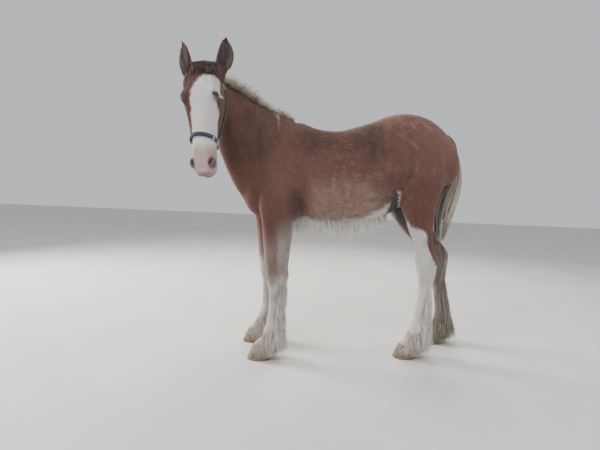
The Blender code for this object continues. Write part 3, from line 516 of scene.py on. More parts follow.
def torso_rings():
    """The trunk: level sections square to X."""
    x, top, bottom, half_width, widest, power = refine(TORSO_STATIONS, 6).T
    across, up = sections(half_width, top, bottom, widest, power, 64)
    return np.stack([np.broadcast_to(x[:, None], up.shape), across, up], axis=-1)


def neck_rings():
    """The neck: sections whose height runs from the throat to the crest."""
    table = refine(NECK_STATIONS, 6)
    crest, throat, half_width = table[:, :3], table[:, 3:6], table[:, 6]
    centre = (crest + throat) / 2
    rise = (crest - throat) / 2
    depth = np.linalg.norm(rise, axis=1)
    upward = rise / depth[:, None]
    side = unit(np.cross(np.gradient(centre, axis=0), upward))
    across, up = sections(half_width, depth, -depth, -0.1 * depth, 1.9, 48)
    return centre[:, None] + side[:, None] * across[..., None] + upward[:, None] * up[..., None]


def leg_rings(leg):
    """One leg: level sections at each height."""
    height, front, rear, half_width, plane = leg_rows(leg, 5).T
    reach = (rear - front) / 2
    across, along = sections(half_width, reach, -reach, 0, 2.2, 32)
    return np.stack([((front + rear) / 2)[:, None] + along, plane[:, None] + across,
                     np.broadcast_to(height[:, None], along.shape)], axis=-1)


def head_rings():
    """The skull and muzzle: sections square to the line down the face."""
    down, front, back, half_width, fullest, power = refine(HEAD_STATIONS, 4).T
    across, out = sections(half_width, front, back, fullest, power, 64)
    return on_head(np.stack([across, out, np.broadcast_to(down[:, None], out.shape)], axis=-1))


def ear_axes(side):
    """Foot of one ear and its upward, opening and across directions, in the head's frame."""
    foot = np.array([side * EAR_PLACE[0], EAR_PLACE[1], EAR_PLACE[2]])
    splay = math.radians(8) * side
    upward = unit(np.array([math.sin(splay), -0.05, -math.cos(splay)]))
    opening = np.array([side * 0.60, 0.80, 0])
    opening = unit(opening - upward * (opening @ upward))
    return foot, upward, opening, np.cross(upward, opening)


EAR_LEAF = (
    # share of the length, half width, half depth, lean towards the opening
    (-0.16, 0.020, 0.020, 0.000), (0.00, 0.029, 0.027, 0.000), (0.18, 0.037, 0.028, -0.003),
    (0.42, 0.039, 0.026, -0.006), (0.66, 0.032, 0.020, -0.005), (0.86, 0.018, 0.012, 0.000),
    (1.00, 0.0015, 0.0015, 0.007),
)


def ear_middle(side, share):
    """Middle of one ear at shares of its length, bowed outwards by half a sine wave."""
    foot, upward = ear_axes(side)[:2]
    bow = EAR_BOW * np.sin(np.pi * np.maximum(share, 0))
    return foot + upward * (share * EAR_LENGTH)[:, None] + bow[:, None] * np.array([side, 0, 0])


def ear(side):
    """A cupped leaf: outer sections, less inner ones set towards its opening."""
    opening, across_ear = ear_axes(side)[2:]
    share, half_width, half_depth, lean = refine(EAR_LEAF, 5).T
    centre = ear_middle(side, share) + opening * lean[:, None]

    def rings(middle, width, out, back):
        across, up = sections(width, out, back, 0, 2.0, 32)
        local = middle[:, None] + across_ear * across[..., None] + opening * up[..., None]
        return on_head(local)

    pinna = shaper("pinna", rings(centre, half_width, half_depth, -half_depth))
    hollow = (share > 0.05) & (share < 0.955)
    inner = centre[hollow] + opening * (0.55 * half_depth[hollow])[:, None]
    depth = half_depth[hollow]
    cup = shaper("cup", rings(inner, 0.86 * half_width[hollow], 1.15 * depth, -1.22 * depth))
    return combine(pinna, [cup], "DIFFERENCE", solver="EXACT")


def head_flesh():
    """The head with brow, jowl, lids, nostrils and lips, and both ears on it."""
    pieces = [shaper("skull", head_rings())]
    for side in (-1, 1):
        swellings = (
            ((side * 0.058, 0.031, 0.138), (0.029, 0.034, 0.036)),      # brow
            ((side * 0.046, -0.105, 0.165), (0.026, 0.062, 0.072)),     # jowl
            ((side * 0.052, 0.000, 0.225), (0.017, 0.018, 0.062)),      # cheekbone
            ((side * 0.040, 0.012, 0.430), (0.018, 0.024, 0.028)),      # nostril wing
            ((side * 0.064, -0.036, 0.032), (0.036, 0.034, 0.042)),     # ear root
            ((side * 0.054, 0.000, 0.084), (0.032, 0.056, 0.058)),      # temple
        )
        for place, radii in swellings:
            pieces.append(ball("swelling", on_head(place), radii, HEAD))
        pieces.append(ball("lids", eye_centre(side), (0.0265, 0.0255, 0.0245), eye_axes(side)))
        pieces.append(ear(side))
    pieces.append(ball("upper lip", on_head((0, 0.006, 0.470)), (0.036, 0.026, 0.028), HEAD))
    pieces.append(ball("lower lip", on_head((0, -0.052, 0.474)), (0.030, 0.022, 0.024), HEAD))
    flesh = blended("head flesh", pieces, 0.0032, 3)
    hollows = []
    for side in (-1, 1):
        axes = eye_axes(side)
        centre = eye_centre(side)
        opening = centre + axes @ np.array([0, 0, EYE_RADIUS])
        hollows.append(ball("socket", centre, (EYE_RADIUS + 0.0006,) * 3, axes))
        hollows.append(ball("opening", opening, (0.0175, 0.0098, 0.012), axes))
        slant = HEAD @ np.array(Matrix.Rotation(side * math.radians(-24), 3, "Y"))
        hollows.append(ball("nostril", on_head((side * 0.043, 0.027, 0.432)),
                            (0.0085, 0.014, 0.0165), slant))
    slope = HEAD @ np.array(Matrix.Rotation(math.radians(-14), 3, "X"))
    hollows.append(slab("mouth line", on_head((0, -0.027, 0.455)), (0.14, 0.0034, 0.085), slope))
    combine(flesh, hollows, "DIFFERENCE")
    return blended("head flesh", [flesh], 0.0032, 2)


def arrays_of(piece):
    """Points and triangles of a mesh object, which is removed."""
    mesh = piece.data
    mesh.calc_loop_triangles()
    points = np.zeros(len(mesh.vertices) * 3, np.float32)
    mesh.vertices.foreach_get("co", points)
    triangles = np.zeros(len(mesh.loop_triangles) * 3, np.int32)
    mesh.loop_triangles.foreach_get("vertices", triangles)
    bpy.data.objects.remove(piece)
    return points.reshape(-1, 3).astype(float), triangles.reshape(-1, 3)


def edges_of(triangles):
    """Each edge of the triangles once."""
    pairs = np.vstack([triangles[:, [0, 1]], triangles[:, [1, 2]], triangles[:, [2, 0]]])
    return np.unique(np.sort(pairs, axis=1), axis=0)


def gathered(values, places, count):
    """Sums of rows of values at each place."""
    return np.stack([np.bincount(places, values[:, axis], count) for axis in range(3)], axis=1)


def normals_of(points, triangles):
    """Unit normals at the points, from the area vectors of the triangles round them."""
    a, b, c = (points[triangles[:, corner]] for corner in range(3))
    area = np.cross(b - a, c - a)
    return unit(sum(gathered(area, triangles[:, corner], len(points)) for corner in range(3)))


def relax(points, edges, weight, rounds):
    """Moves each point towards the mean of its neighbours, by its weight, a few times."""
    both = np.vstack([edges, edges[:, ::-1]])
    count = np.maximum(np.bincount(both[:, 0], minlength=len(points)), 1)[:, None]
    for _ in range(rounds):
        mean = gathered(points[both[:, 1]], both[:, 0], len(points)) / count
        points = points + (mean - points) * weight[:, None]
    return points


MUSCLES = (
    # place, radii and height of each rise or hollow of the trunk and neck, both sides alike
    ((-0.545, 0.130, 0.940), (0.050, 0.06, 0.060), 0.010),    # point of the shoulder
    ((-0.420, 0.190, 1.060), (0.045, 0.08, 0.140), 0.006),    # shoulder blade
    ((-0.390, 0.190, 0.900), (0.080, 0.08, 0.085), 0.010),    # upper arm
    ((-0.270, 0.210, 0.960), (0.035, 0.09, 0.170), -0.010),   # behind the shoulder
    ((-0.330, 0.190, 0.790), (0.045, 0.06, 0.045), 0.007),    # elbow
    ((-0.520, 0.060, 1.180), (0.060, 0.12, 0.070), -0.008),   # before the shoulder blade
    ((0.110, 0.220, 1.120), (0.070, 0.09, 0.090), -0.012),    # flank
    ((0.175, 0.190, 1.265), (0.040, 0.05, 0.030), 0.008),     # point of the hip
    ((0.225, 0.200, 0.900), (0.050, 0.08, 0.060), 0.009),     # stifle
    ((0.370, 0.200, 1.060), (0.090, 0.08, 0.130), 0.008),     # thigh
    ((0.480, 0.160, 1.030), (0.022, 0.08, 0.130), -0.006),    # groove behind the thigh
    ((0.540, 0.110, 1.090), (0.040, 0.07, 0.120), 0.006),     # hamstrings
    ((-0.030, 0.220, 0.930), (0.170, 0.10, 0.100), 0.004),    # rib barrel
    ((-0.595, 0.000, 0.960), (0.060, 0.016, 0.110), -0.009),  # breast furrow
)


def bulges(places, table):
    """Heights at places of a table's rises and hollows, each a bell of its own radii."""
    height = np.zeros(len(places))
    for place, radii, rise in table:
        height += rise * np.exp(-(((places - place) / radii) ** 2).sum(axis=1))
    return height


def shaped_trunk(points, normals):
    """The trunk with its muscles along the normals and a faint run of ribs."""
    height = bulges(np.column_stack([points[:, 0], np.abs(points[:, 1]), points[:, 2]]), MUSCLES)
    ribs = ramp(-0.22, -0.12, points[:, 0]) * ramp(0.14, 0.04, points[:, 0])
    ribs = ribs * ramp(0.80, 0.90, points[:, 2]) * ramp(1.20, 1.08, points[:, 2])
    leaning = points[:, 0] - 0.22 * (points[:, 2] - 1.0)
    height += 0.0004 * ribs * np.sin(2 * np.pi * leaning / 0.042)
    return points + normals * height[:, None]


def shaped_legs(points, normals):
    """Knees, hocks, tendons and fetlocks, along the normals."""
    height = np.zeros(len(points))
    z = points[:, 2]
    for leg in LEGS:
        share, aside, half_width = across_leg(leg, points)
        flank = ramp(0.35, 0.85, np.abs(normals[:, 1]))
        inside = (np.abs(aside) < half_width + 0.05) & (share > -0.6) & (share < 1.6)
        if "fore" in leg[0]:
            rise = 0.005 * bell(z, 0.435, 0.035) * ramp(0.35, 0.0, share)
            rise += 0.006 * bell(z, 0.455, 0.022) * ramp(0.75, 1.0, share)
            rise -= (0.0045 * flank * bell(share, 0.58, 0.13)
                     * ramp(0.16, 0.21, z) * ramp(0.41, 0.35, z))
            rise += 0.004 * flank * bell(z, 0.435, 0.03)
            rise -= 0.004 * flank * bell(share, 0.45, 0.10) * bell(z, 0.60, 0.07)
        else:
            rise = (-0.010 * flank * bell(share, 0.70, 0.13)
                    * ramp(0.58, 0.63, z) * ramp(0.80, 0.68, z))
            rise += 0.004 * ramp(0.75, 1.0, share) * bell(z, 0.560, 0.02)
            rise += 0.004 * flank * bell(share, 0.30, 0.25) * bell(z, 0.52, 0.035)
            rise -= (0.0045 * flank * bell(share, 0.60, 0.13)
                     * ramp(0.18, 0.23, z) * ramp(0.47, 0.42, z))
        rise += 0.003 * bell(z, 0.165, 0.022)
        rise -= 0.003 * bell(z, 0.120, 0.014)
        height += np.where(inside & (z < 0.80), rise, 0)
    return points + normals * height[:, None]


FACE = (
    # place on the head, radii and height of each rise or hollow, both sides alike
    ((0.058, 0.060, 0.082), (0.018, 0.03, 0.020), -0.0040),   # hollow over the eye
    ((0.077, -0.004, 0.215), (0.030, 0.010, 0.050), 0.0045),  # facial crest
    ((0.070, -0.026, 0.225), (0.030, 0.012, 0.050), -0.0035), # below the crest
    ((0.040, 0.050, 0.300), (0.014, 0.03, 0.070), -0.0030),   # beside the nose bone
    ((0.000, 0.060, 0.330), (0.026, 0.03, 0.090), 0.0020),    # nose bone
    ((0.080, -0.085, 0.140), (0.040, 0.042, 0.050), 0.0040),  # jaw muscle
    ((0.070, -0.130, 0.215), (0.040, 0.020, 0.030), -0.0040), # before the jaw's angle
    ((0.052, 0.020, 0.440), (0.014, 0.024, 0.024), 0.0050),   # nostril wing
    ((0.056, 0.005, 0.380), (0.020, 0.050, 0.026), -0.0035),  # above the nostril wing
    ((0.000, 0.030, 0.455), (0.012, 0.02, 0.020), -0.0020),   # between the nostrils
    ((0.000, -0.066, 0.436), (0.030, 0.020, 0.012), -0.0040), # chin groove
    ((0.000, -0.070, 0.462), (0.022, 0.020, 0.016), 0.0040),  # chin
    ((0.048, -0.030, 0.425), (0.012, 0.010, 0.012), 0.0020),  # corner of the mouth
)


def shaped_head(points, normals):
    """The head with its bones, furrows and fine folds round the eyes, nostrils and lips."""
    local = in_head(points)
    mirrored = to_the_left(local)
    height = bulges(mirrored, FACE)
    from_eye = np.linalg.norm((mirrored - EYE_PLACE) * np.array([1, 0.8, 1.15]), axis=1)
    folds = ramp(0.024, 0.029, from_eye) * ramp(0.046, 0.034, from_eye)
    height += 0.0010 * folds * np.sin(2 * np.pi * from_eye / 0.0085)
    muzzle = ramp(0.40, 0.44, local[:, 2])
    height += 0.0004 * muzzle * np.sin(2 * np.pi * (local[:, 1] + 0.3 * local[:, 2]) / 0.0095)
    on_face = (local[:, 2] < 0.56) & (local[:, 2] > -0.02) & (mirrored[:, 0] < 0.14)
    on_face &= head_side(points) > 0
    return points + normals * np.where(on_face, height, 0)[:, None]


POLL_PLACE, POLL_NORMAL = (-0.060, -0.155), (0.9461, 0.3238)    # out and down
HEAD_MIDDLE, HEAD_REACH = (0, -0.03, 0.2), 0.42
NECK_ROOT, NECK_NORMAL = (-0.30, 1.37), (-0.8456, 0.534)        # x and z


def beyond(first, second, place, normal):
    """How far pairs of coordinates lie beyond a plane through a place, along its normal."""
    return (first - place[0]) * normal[0] + (second - place[1]) * normal[1]


def head_side(points):
    """How far points lie on the head's side of the plane through poll and throat."""
    local = in_head(points)
    near = np.linalg.norm(local - HEAD_MIDDLE, axis=1) < HEAD_REACH
    return np.where(near, beyond(local[:, 1], local[:, 2], POLL_PLACE, POLL_NORMAL), -1.0)


def neck_side(points):
    """How far points lie on the neck's side of the plane at its root."""
    return beyond(points[:, 0], points[:, 2], NECK_ROOT, NECK_NORMAL)


def ear_share(points):
    """For each point the share up its ear, 0 off the ears, and which side the ear is on."""
    local = in_head(points)
    share = np.zeros(len(points))
    side_of = np.where(local[:, 0] > 0, 1, -1)
    for side in (-1, 1):
        foot, upward = ear_axes(side)[:2]
        up = (local - foot) @ upward / EAR_LENGTH
        off_axis = np.linalg.norm(local - ear_middle(side, up), axis=1)
        here = (side_of == side) & (off_axis < 0.050) & (up > 0.12) & (local[:, 2] < -0.012)
        share = np.where(here, up, share)
    return share, side_of


REGIONS = ("head_near", "head_off", "ears", "neck", "shoulder_near", "shoulder_off",
           "quarters_near", "quarters_off", "foreleg_near", "foreleg_off", "hindleg_near",
           "hindleg_off")


def region(points):
    """Which part of the foal each point is on, as a number in REGIONS."""
    x, y, z = points.T
    head = head_side(points) > 0
    on_ear = ear_share(points)[0] > 0
    below_stifle = z < 0.782 + (x - 0.225) * 0.50

    def sided(name, near):
        return np.where(near, REGIONS.index(name + "_near"), REGIONS.index(name + "_off"))

    which = np.where(x > 0.12, sided("quarters", y < 0), sided("shoulder", y < 0))
    which = np.where(neck_side(points) > 0, REGIONS.index("neck"), which)
    which = np.where((x < -0.2) & (z < FORE_TOP), sided("foreleg", y < 0), which)
    which = np.where((x > 0.15) & below_stifle, sided("hindleg", y < 0), which)
    which = np.where(head, sided("head", in_head(points)[:, 0] >= 0), which)
    return np.where(head & on_ear, REGIONS.index("ears"), which)


def coat_depth(points):
    """How deep the short coat lies over the skin."""
    local = in_head(points)
    head = ramp(-0.03, 0.03, head_side(points))
    on_face = mix(0.0035, 0.0015, ramp(0.20, 0.42, local[:, 2]))
    on_face = np.where(from_the_eye(local) < 0.034, 0.0008, on_face)
    on_face = np.where(ear_share(points)[0] > 0, 0.0004, on_face)
    trunk = mix(0.0065, 0.0085, ramp(0.85, 0.75, points[:, 2]))
    leg = mix(0.0035, trunk, ramp(0.35, 0.75, points[:, 2]))
    body = np.where(points[:, 2] < 0.80, leg, trunk)
    return mix(body, on_face, head)


def build_skin():
    """The whole skin as arrays, inside the solids by the depth of the coat."""
    lofts = [shaper("trunk", torso_rings()), shaper("neck", neck_rings())]
    lofts += [shaper(leg[0], leg_rings(leg)) for leg in LEGS]
    body = blended("body flesh", lofts, 0.0093, 4)
    combine(body, [head_flesh()], "UNION")
    points, triangles = arrays_of(body)
    edges = edges_of(triangles)
    join = bell(head_side(points), 0, 0.022)
    points = relax(points, edges, 0.6 * join, 25)
    for shaping in (shaped_trunk, shaped_legs, shaped_head):
        points = shaping(points, normals_of(points, triangles))
    points = points - normals_of(points, triangles) * coat_depth(points)[:, None]
    points = relax(points, edges, np.full(len(points), 0.25), 1)
    return points, triangles


# Colours and markings

def srgb(red, green, blue):
    """A colour picked on a screen, 0 to 255, as the light it stands for."""
    return (np.array([red, green, blue]) / 255) ** 2.2


CHESTNUT = srgb(122, 91, 82)
RED_BAY = srgb(107, 76, 71)
DAMP_COAT = srgb(83, 62, 60)
FAWN = srgb(174, 147, 136)
ROAN = srgb(178, 168, 162)
GREY_COAT = srgb(128, 124, 122)
WHITE_HAIR = srgb(226, 225, 222)
STAINED_WHITE = srgb(176, 166, 152)
PINK = srgb(180, 152, 152)
GREY_SKIN = srgb(82, 75, 82)
FLAXEN = srgb(210, 198, 178)
SILVER = srgb(156, 156, 153)
DARK_HAIR = srgb(70, 58, 55)

# Edges of the blaze: down the face, then the angles from straight out of the face, to the
# foal's right and left, at which it ends; it runs back below the left eye in a point
BLAZE = np.array([
    (0.052, 17, 18), (0.058, 15, 31), (0.064, 11, 51), (0.070, 8, 64), (0.085, -2, 64),
    (0.105, -13, 60), (0.119, -15, 62), (0.127, -15, 98), (0.136, -15, 60), (0.149, -16, 48),
    (0.166, -16, 50),
    (0.206, -18, 62), (0.246, -21, 74), (0.290, -23, 78), (0.345, -26, 80),
    (0.375, -60, 95), (0.400, -120, 110), (0.500, -130, 130),
])


def face_colour(points):
    """Head: chestnut with a broad blaze, pink muzzle and grey nostrils and chin."""
    local = in_head(points)
    left, out, down = local.T
    ragged = 0.004 * noise(points, 0.016, 21) + 0.0025 * noise(points, 0.005, 22)
    colour = mix(RED_BAY, DAMP_COAT, 0.45 + 0.3 * noise(points, 0.05, 23))
    colour = mix(colour, DAMP_COAT, 0.9 * ramp(0.100, 0.04, down) * ramp(-0.08, -0.02, out))
    colour = mix(colour, CHESTNUT, ramp(0.02, -0.06, out) * 0.5)
    around = np.degrees(np.arctan2(left, out + 0.04))
    right_edge = np.interp(down, BLAZE[:, 0], BLAZE[:, 1])
    left_edge = np.interp(down, BLAZE[:, 0], BLAZE[:, 2])
    inside = np.minimum(around - right_edge, left_edge - around) + 700 * ragged
    blaze = ramp(-3.0, 3.0, inside) * ramp(0.052, 0.060, down + ragged)
    colour = mix(colour, WHITE_HAIR * np.array([0.98, 0.99, 1.02]), blaze)
    pink = ramp(0.335, 0.390, down + 3 * ragged) * ramp(-0.085, -0.055, out)
    colour = mix(colour, PINK, 0.85 * pink)
    beige = ramp(0.0, 0.6, noise(points, 0.020, 24)) * pink
    colour = mix(colour, STAINED_WHITE, 0.35 * beige)
    from_nostril = np.linalg.norm((to_the_left(local) - NOSTRIL_PLACE) / NOSTRIL_RADII, axis=1)
    colour = mix(colour, GREY_SKIN, 0.85 * ramp(1.45, 0.75, from_nostril + 8 * ragged))
    chin = ramp(0.440, 0.470, down) * ramp(-0.020, -0.044, out + ragged)
    colour = mix(colour, GREY_SKIN, 0.75 * chin)
    lips = bell(down, 0.490, 0.014) * ramp(-0.06, 0.02, out)
    colour = mix(colour, GREY_SKIN, 0.60 * lips)
    colour = mix(colour, DAMP_COAT, 0.85 * ramp(0.0285, 0.0255, from_the_eye(local)))
    tear = bell(around, 56, 5) * ramp(0.148, 0.155, down) * ramp(0.192, 0.178, down)
    colour = mix(colour, DAMP_COAT, 0.8 * tear * (left > 0))
    share, side = ear_share(points)
    foot = np.where(side[:, None] > 0, ear_axes(1)[0], ear_axes(-1)[0])
    opening = np.where(side[:, None] > 0, ear_axes(1)[2], ear_axes(-1)[2])
    inward = ((local - foot) * opening).sum(axis=1)
    colour = mix(colour, DAMP_COAT, np.where(share > 0, 0.6 + 0.35 * ramp(0.5, 1.0, share), 0))
    return mix(colour, GREY_SKIN, np.where(share > 0, 0.60 * ramp(-0.004, 0.010, inward), 0))


def flank_fold(z):
    """The x at which the near thigh begins behind the dark groin."""
    return np.interp(z, (0.805, 0.880, 0.937), (0.256, 0.226, 0.198))


def trunk_colour(points):
    """Neck, trunk and quarters: chestnut with damp dark patches and paler flanks."""
    x, y, z = points.T
    broad = noise(points, 0.24, 1)
    middle = noise(points, 0.085, 2)
    fine = noise(points * np.array([0.5, 1, 1]), 0.022, 3)
    colour = mix(CHESTNUT, RED_BAY, np.clip(0.5 + 0.5 * broad + 0.2 * fine, 0, 1))
    streaks = noise(points * np.array([1, 1, 0.22]), 0.011, 4)
    damp_place = np.max([bell(z, 1.18, 0.100) * ramp(-0.50, -0.20, x) * ramp(0.22, 0.06, x),
                         1.25 * bell(x, 0.070, 0.075) * ramp(1.00, 1.12, z),
                         0.9 * bell(x, -0.32, 0.060) * bell(z, 0.84, 0.085),
                         0.75 * bell(x, -0.58, 0.20) * ramp(0.85, 1.1, z)], axis=0)
    damp = ramp(0.05, 1.25, damp_place * (0.95 + 0.40 * middle + 0.45 * streaks))
    colour = mix(colour, DAMP_COAT, 0.85 * damp)
    low_ribs = ramp(1.04, 0.84, z + 0.04 * middle) * ramp(-0.30, -0.20, x) * ramp(0.22, 0.05, x)
    colour = mix(colour, FAWN, np.clip(0.70 * low_ribs * (1 + 0.4 * streaks), 0, 1))
    worn = ramp(0.35, 0.9, streaks) * ramp(1.15, 1.05, z) * ramp(-0.30, -0.15, x)
    colour = mix(colour, FAWN, 0.30 * worn)
    underside = np.interp(x, (-0.34, -0.10, 0.02, 0.10, 0.18), (0.770, 0.762, 0.778, 0.822, 0.87))
    belly = ramp(0.030, -0.034, z - underside + 0.012 * fine) * ramp(-0.38, -0.30, x)
    belly = belly * ramp(0.205, 0.165, x + 0.010 * fine)
    colour = mix(colour, mix(GREY_COAT, WHITE_HAIR, ramp(0.2, 1.0, belly)), 0.85 * belly)
    groin = ramp(0.125, 0.150, x) * ramp(0.100, 0.070, np.abs(y)) * ramp(0.93, 0.89, z)
    before_thigh = ramp(0.172, 0.190, x) * ramp(0.003, -0.003, x - flank_fold(z) + 0.005 * fine)
    before_thigh = before_thigh * ramp(0.06, 0.03, y) * ramp(0.945, 0.925, z)
    colour = mix(colour, GREY_SKIN, 0.9 * np.maximum(groin, before_thigh))
    rump = ramp(0.98, 1.20, z) * ramp(0.12, 0.28, x)
    colour = mix(colour, CHESTNUT * np.array([1.0, 0.94, 0.90]), 0.5 * rump)
    slanting = np.column_stack([0.75 * x + 0.66 * z, 0.3 * y, 0.14 * (0.75 * z - 0.66 * x)])
    swirls = ramp(0.20, 0.80, noise(slanting, 0.011, 5)) * bell(x, 0.33, 0.14) * ramp(1.08, 1.18, z)
    return mix(colour, FAWN, 0.30 * swirls)


# Border of the near hind stocking: height, then the x up to which the leg is white
STOCKING = np.array([(0.505, 0.60), (0.530, 0.478), (0.600, 0.434), (0.665, 0.412), (0.722, 0.394),
                     (0.742, 0.332), (0.793, 0.294), (0.858, 0.250), (0.900, 0.228), (0.940, 0.206)])
# How soiled each leg's white is, from clean at 0 to stained at 1, how much greyer it is and
# the share of its brightness it keeps under painted shade, least on the shaded off hind
SOIL_AND_SHADE = {"near_fore": (0.25, 0.30, 0.94), "off_fore": (0.40, 0.30, 1.0),
        "near_hind": (0.0, 0.10, 1.0), "off_hind": (0.95, 0.60, 0.66)}


def foreleg_colour(leg, colour, z, share, ragged, streaks):
    """A foreleg's coat, greyer and more roan towards the knee, and how white it is below."""
    off = "off" in leg[0]
    edge = 0.395 + 0.055 * np.clip(share, 0, 1) + (0.10 if off else 0)
    white = ramp(0.050, -0.030, z - edge + ragged + 0.02 * streaks)
    roan = ramp(0.78, 0.62, z + 0.03 * streaks) * ramp(0.25, 0.62, share)
    roan = np.maximum(roan, 0.45 * ramp(0.72, 0.58, z + 0.03 * streaks))
    roan = np.maximum(roan, 0.75 * ramp(0.52, 0.42, z + 0.02 * streaks))
    if off:
        roan = np.maximum(roan, 0.75 * ramp(0.66, 0.50, z))
    grey = mix(GREY_COAT, ROAN, np.clip(0.75 + 0.5 * streaks, 0, 1))
    return np.where((z < 0.80)[:, None], mix(colour, grey, 0.85 * roan), colour), white


def off_hind_colour(colour, x, z, share, aside):
    """The off hind leg above its white: shaded inner thigh and the lit edge at its front."""
    inner_thigh = ramp(0.05, -0.02, aside) * ramp(0.95, 0.90, z) * (x < 0.42)
    shaded = mix(GREY_SKIN, GREY_COAT, ramp(0.90, 0.70, z) * 0.7)
    colour = mix(colour, shaded, 0.8 * inner_thigh)
    lit_edge = ramp(0.12, 0.02, share) * ramp(0.86, 0.82, z)
    return mix(colour, FLAXEN, 0.8 * lit_edge)


def stocking(x, z, share, ragged):
    """How white the near hind leg is, up a slanting border and before the fold of the flank."""
    border = np.interp(z, STOCKING[:, 0], STOCKING[:, 1])
    white = ramp(0.006, -0.006, x - border + ragged) * ramp(0.935, 0.915, z)
    return white * np.where(z > 0.80, ramp(-0.003, 0.003, x - flank_fold(z)), share > -0.5)


def leg_colour(points, base):
    """Forelegs white from the knee; near hind with a slanting stocking; off hind from the hock."""
    x, z = points[:, 0], points[:, 2]
    ragged = 0.008 * noise(points, 0.035, 31) + 0.004 * noise(points, 0.011, 32)
    streaks = noise(points * np.array([1, 1, 0.25]), 0.014, 34)
    colour = base
    for leg in LEGS:
        share, aside, half_width = across_leg(leg, points)
        on_leg = (np.abs(aside) < half_width + 0.05) & (share > -0.5) & (share < 1.8)
        # light dims the white hair: painted shade, strongest on the off hind
        soil, grey, light = SOIL_AND_SHADE[leg[0]]
        upper = colour
        if "fore" in leg[0]:
            upper, white = foreleg_colour(leg, colour, z, share, ragged, streaks)
        elif leg[0] == "near_hind":
            white = stocking(x, z, share, ragged)
        else:
            upper = off_hind_colour(colour, x, z, share, aside)
            white = ramp(0.64, 0.54, z + 2 * ragged + 0.03 * streaks)
            # Painted light on the off hind's rear edge: its dimming fades and turns slightly bright
            light = (light + (1.05 - light) * ramp(0.75, 1.0, share))[:, None]
        soiled = soil + 0.45 * ramp(0.20, 0.04, z) + 0.25 * noise(points, 0.05, 33) + 0.2 * streaks
        hair = mix(WHITE_HAIR, STAINED_WHITE, np.clip(soiled, 0, 1))
        hair = light * mix(hair, GREY_COAT, np.clip(grey * (0.8 + 0.8 * streaks), 0, 0.8))
        colour = np.where(on_leg[:, None], upper, colour)
        colour = mix(colour, hair, np.where(on_leg & (z < 0.96), white, 0))
    return colour


def coat_colour(points):
    """Colour of skin and coat alike at places on the body."""
    body = leg_colour(points, trunk_colour(points))
    head = ramp(-0.03, 0.015, head_side(points) + 0.006 * noise(points, 0.03, 41))
    return mix(body, face_colour(points), head)


# Materials

class Value:
    """A shader socket that can be added and multiplied like a number."""

    def __init__(self, tree, socket):
        self.tree, self.socket = tree, socket

    def maths(self, operation, *values):
        return node(self.tree, "ShaderNodeMath", {"operation": operation}, values or (self,))

    def __add__(self, other):
        return self.maths("ADD", self, other)

    def __sub__(self, other):
        return self.maths("SUBTRACT", self, other)

    def __rsub__(self, other):
        return self.maths("SUBTRACT", other, self)

    def __mul__(self, other):
        return self.maths("MULTIPLY", self, other)

    __radd__, __rmul__ = __add__, __mul__


def node(tree, kind, settings=(), inputs=(), output=0):
    """Adds a node: its settings, then the values or links of its sockets, by place or name."""
    made = tree.nodes.new(kind)
    for key, setting in dict(settings).items():
        if key == "stops":
            elements = made.color_ramp.elements
            while len(elements) < len(setting):
                elements.new(0.5)
            for element, (place, shade) in zip(elements, setting):
                element.position, element.color = place, (*shade, 1)
        else:
            setattr(made, key, setting)
    for key, value in (inputs.items() if isinstance(inputs, dict) else enumerate(inputs)):
        if isinstance(value, Value):
            tree.links.new(value.socket, made.inputs[key])
        else:
            made.inputs[key].default_value = value
    return Value(tree, made.outputs[output])


def surface(name, constants):
    """A material with a Principled surface; constants are set on its sockets."""
    material = bpy.data.materials.new(name)
    material.use_nodes = True
    principled = material.node_tree.nodes["Principled BSDF"]
    for key, value in constants.items():
        principled.inputs[key].default_value = value
    return material, material.node_tree, principled


def feed(tree, principled, **links):
    """Links what changes over the surface to the Principled sockets."""
    for key, value in links.items():
        tree.links.new(value.socket, principled.inputs[key.replace("_", " ")])


def bumped(tree, height, distance, strength):
    """A Bump node's normal from a height."""
    return node(tree, "ShaderNodeBump", (), {"Height": height, "Distance": distance,
                                              "Strength": strength})


def object_place(tree):
    """Places in the piece's own frame."""
    return node(tree, "ShaderNodeTexCoord", (), (), 3)


def parts_of(tree, place):
    """The three numbers of a place."""
    split = node(tree, "ShaderNodeSeparateXYZ", (), (place,))
    return [Value(tree, output) for output in split.socket.node.outputs]


def speckle(tree, place, scale, detail):
    """Cloudy noise of a fineness and depth of detail."""
    return node(tree, "ShaderNodeTexNoise", (), {"Vector": place, "Scale": scale, "Detail": detail})


def graded(tree, factor, *stops):
    """Colours along a factor, each stop a place on it and a colour."""
    return node(tree, "ShaderNodeValToRGB", {"stops": stops}, (factor,))


def mixed(tree, factor, first, second, blend="MIX"):
    """Two colours blended by a factor."""
    return node(tree, "ShaderNodeMix", {"data_type": "RGBA", "blend_type": blend},
                {0: factor, 6: first, 7: second}, 2)


def hair_material(name, roughness, sheen):
    """Hair: the colours kept on the points, a soft gloss and sheen."""
    material, tree, principled = surface(name, {
        "Roughness": roughness, "Specular IOR Level": 0.28, "Sheen Weight": sheen,
        "Sheen Roughness": 0.45, "Sheen Tint": (1.0, 0.86, 0.68, 1)})
    shade = node(tree, "ShaderNodeAttribute", {"attribute_name": "coat"})
    feed(tree, principled, Base_Color=shade)
    return material


def skin_material():
    """Skin under the hair: the coat's colours broken by fine grain, with pores in the bump."""
    material, tree, principled = surface("skin", {"Specular IOR Level": 0.25, "Sheen Weight": 0.10})
    shade = node(tree, "ShaderNodeAttribute", {"attribute_name": "coat"})
    place = object_place(tree)
    grain = speckle(tree, place, 420.0, 3.0)
    pores = node(tree, "ShaderNodeTexVoronoi", (), {"Vector": place, "Scale": 520.0})
    creases = graded(tree, grain, (0.30, (0.55, 0.50, 0.48)), (0.70, (1.0, 1.0, 1.0)))
    darker = mixed(tree, 0.5, shade, creases, "MULTIPLY")
    feed(tree, principled, Base_Color=darker, Roughness=0.50 + 0.30 * grain,
         Normal=bumped(tree, grain + 0.6 * pores, 0.0009, 0.7))
    return material


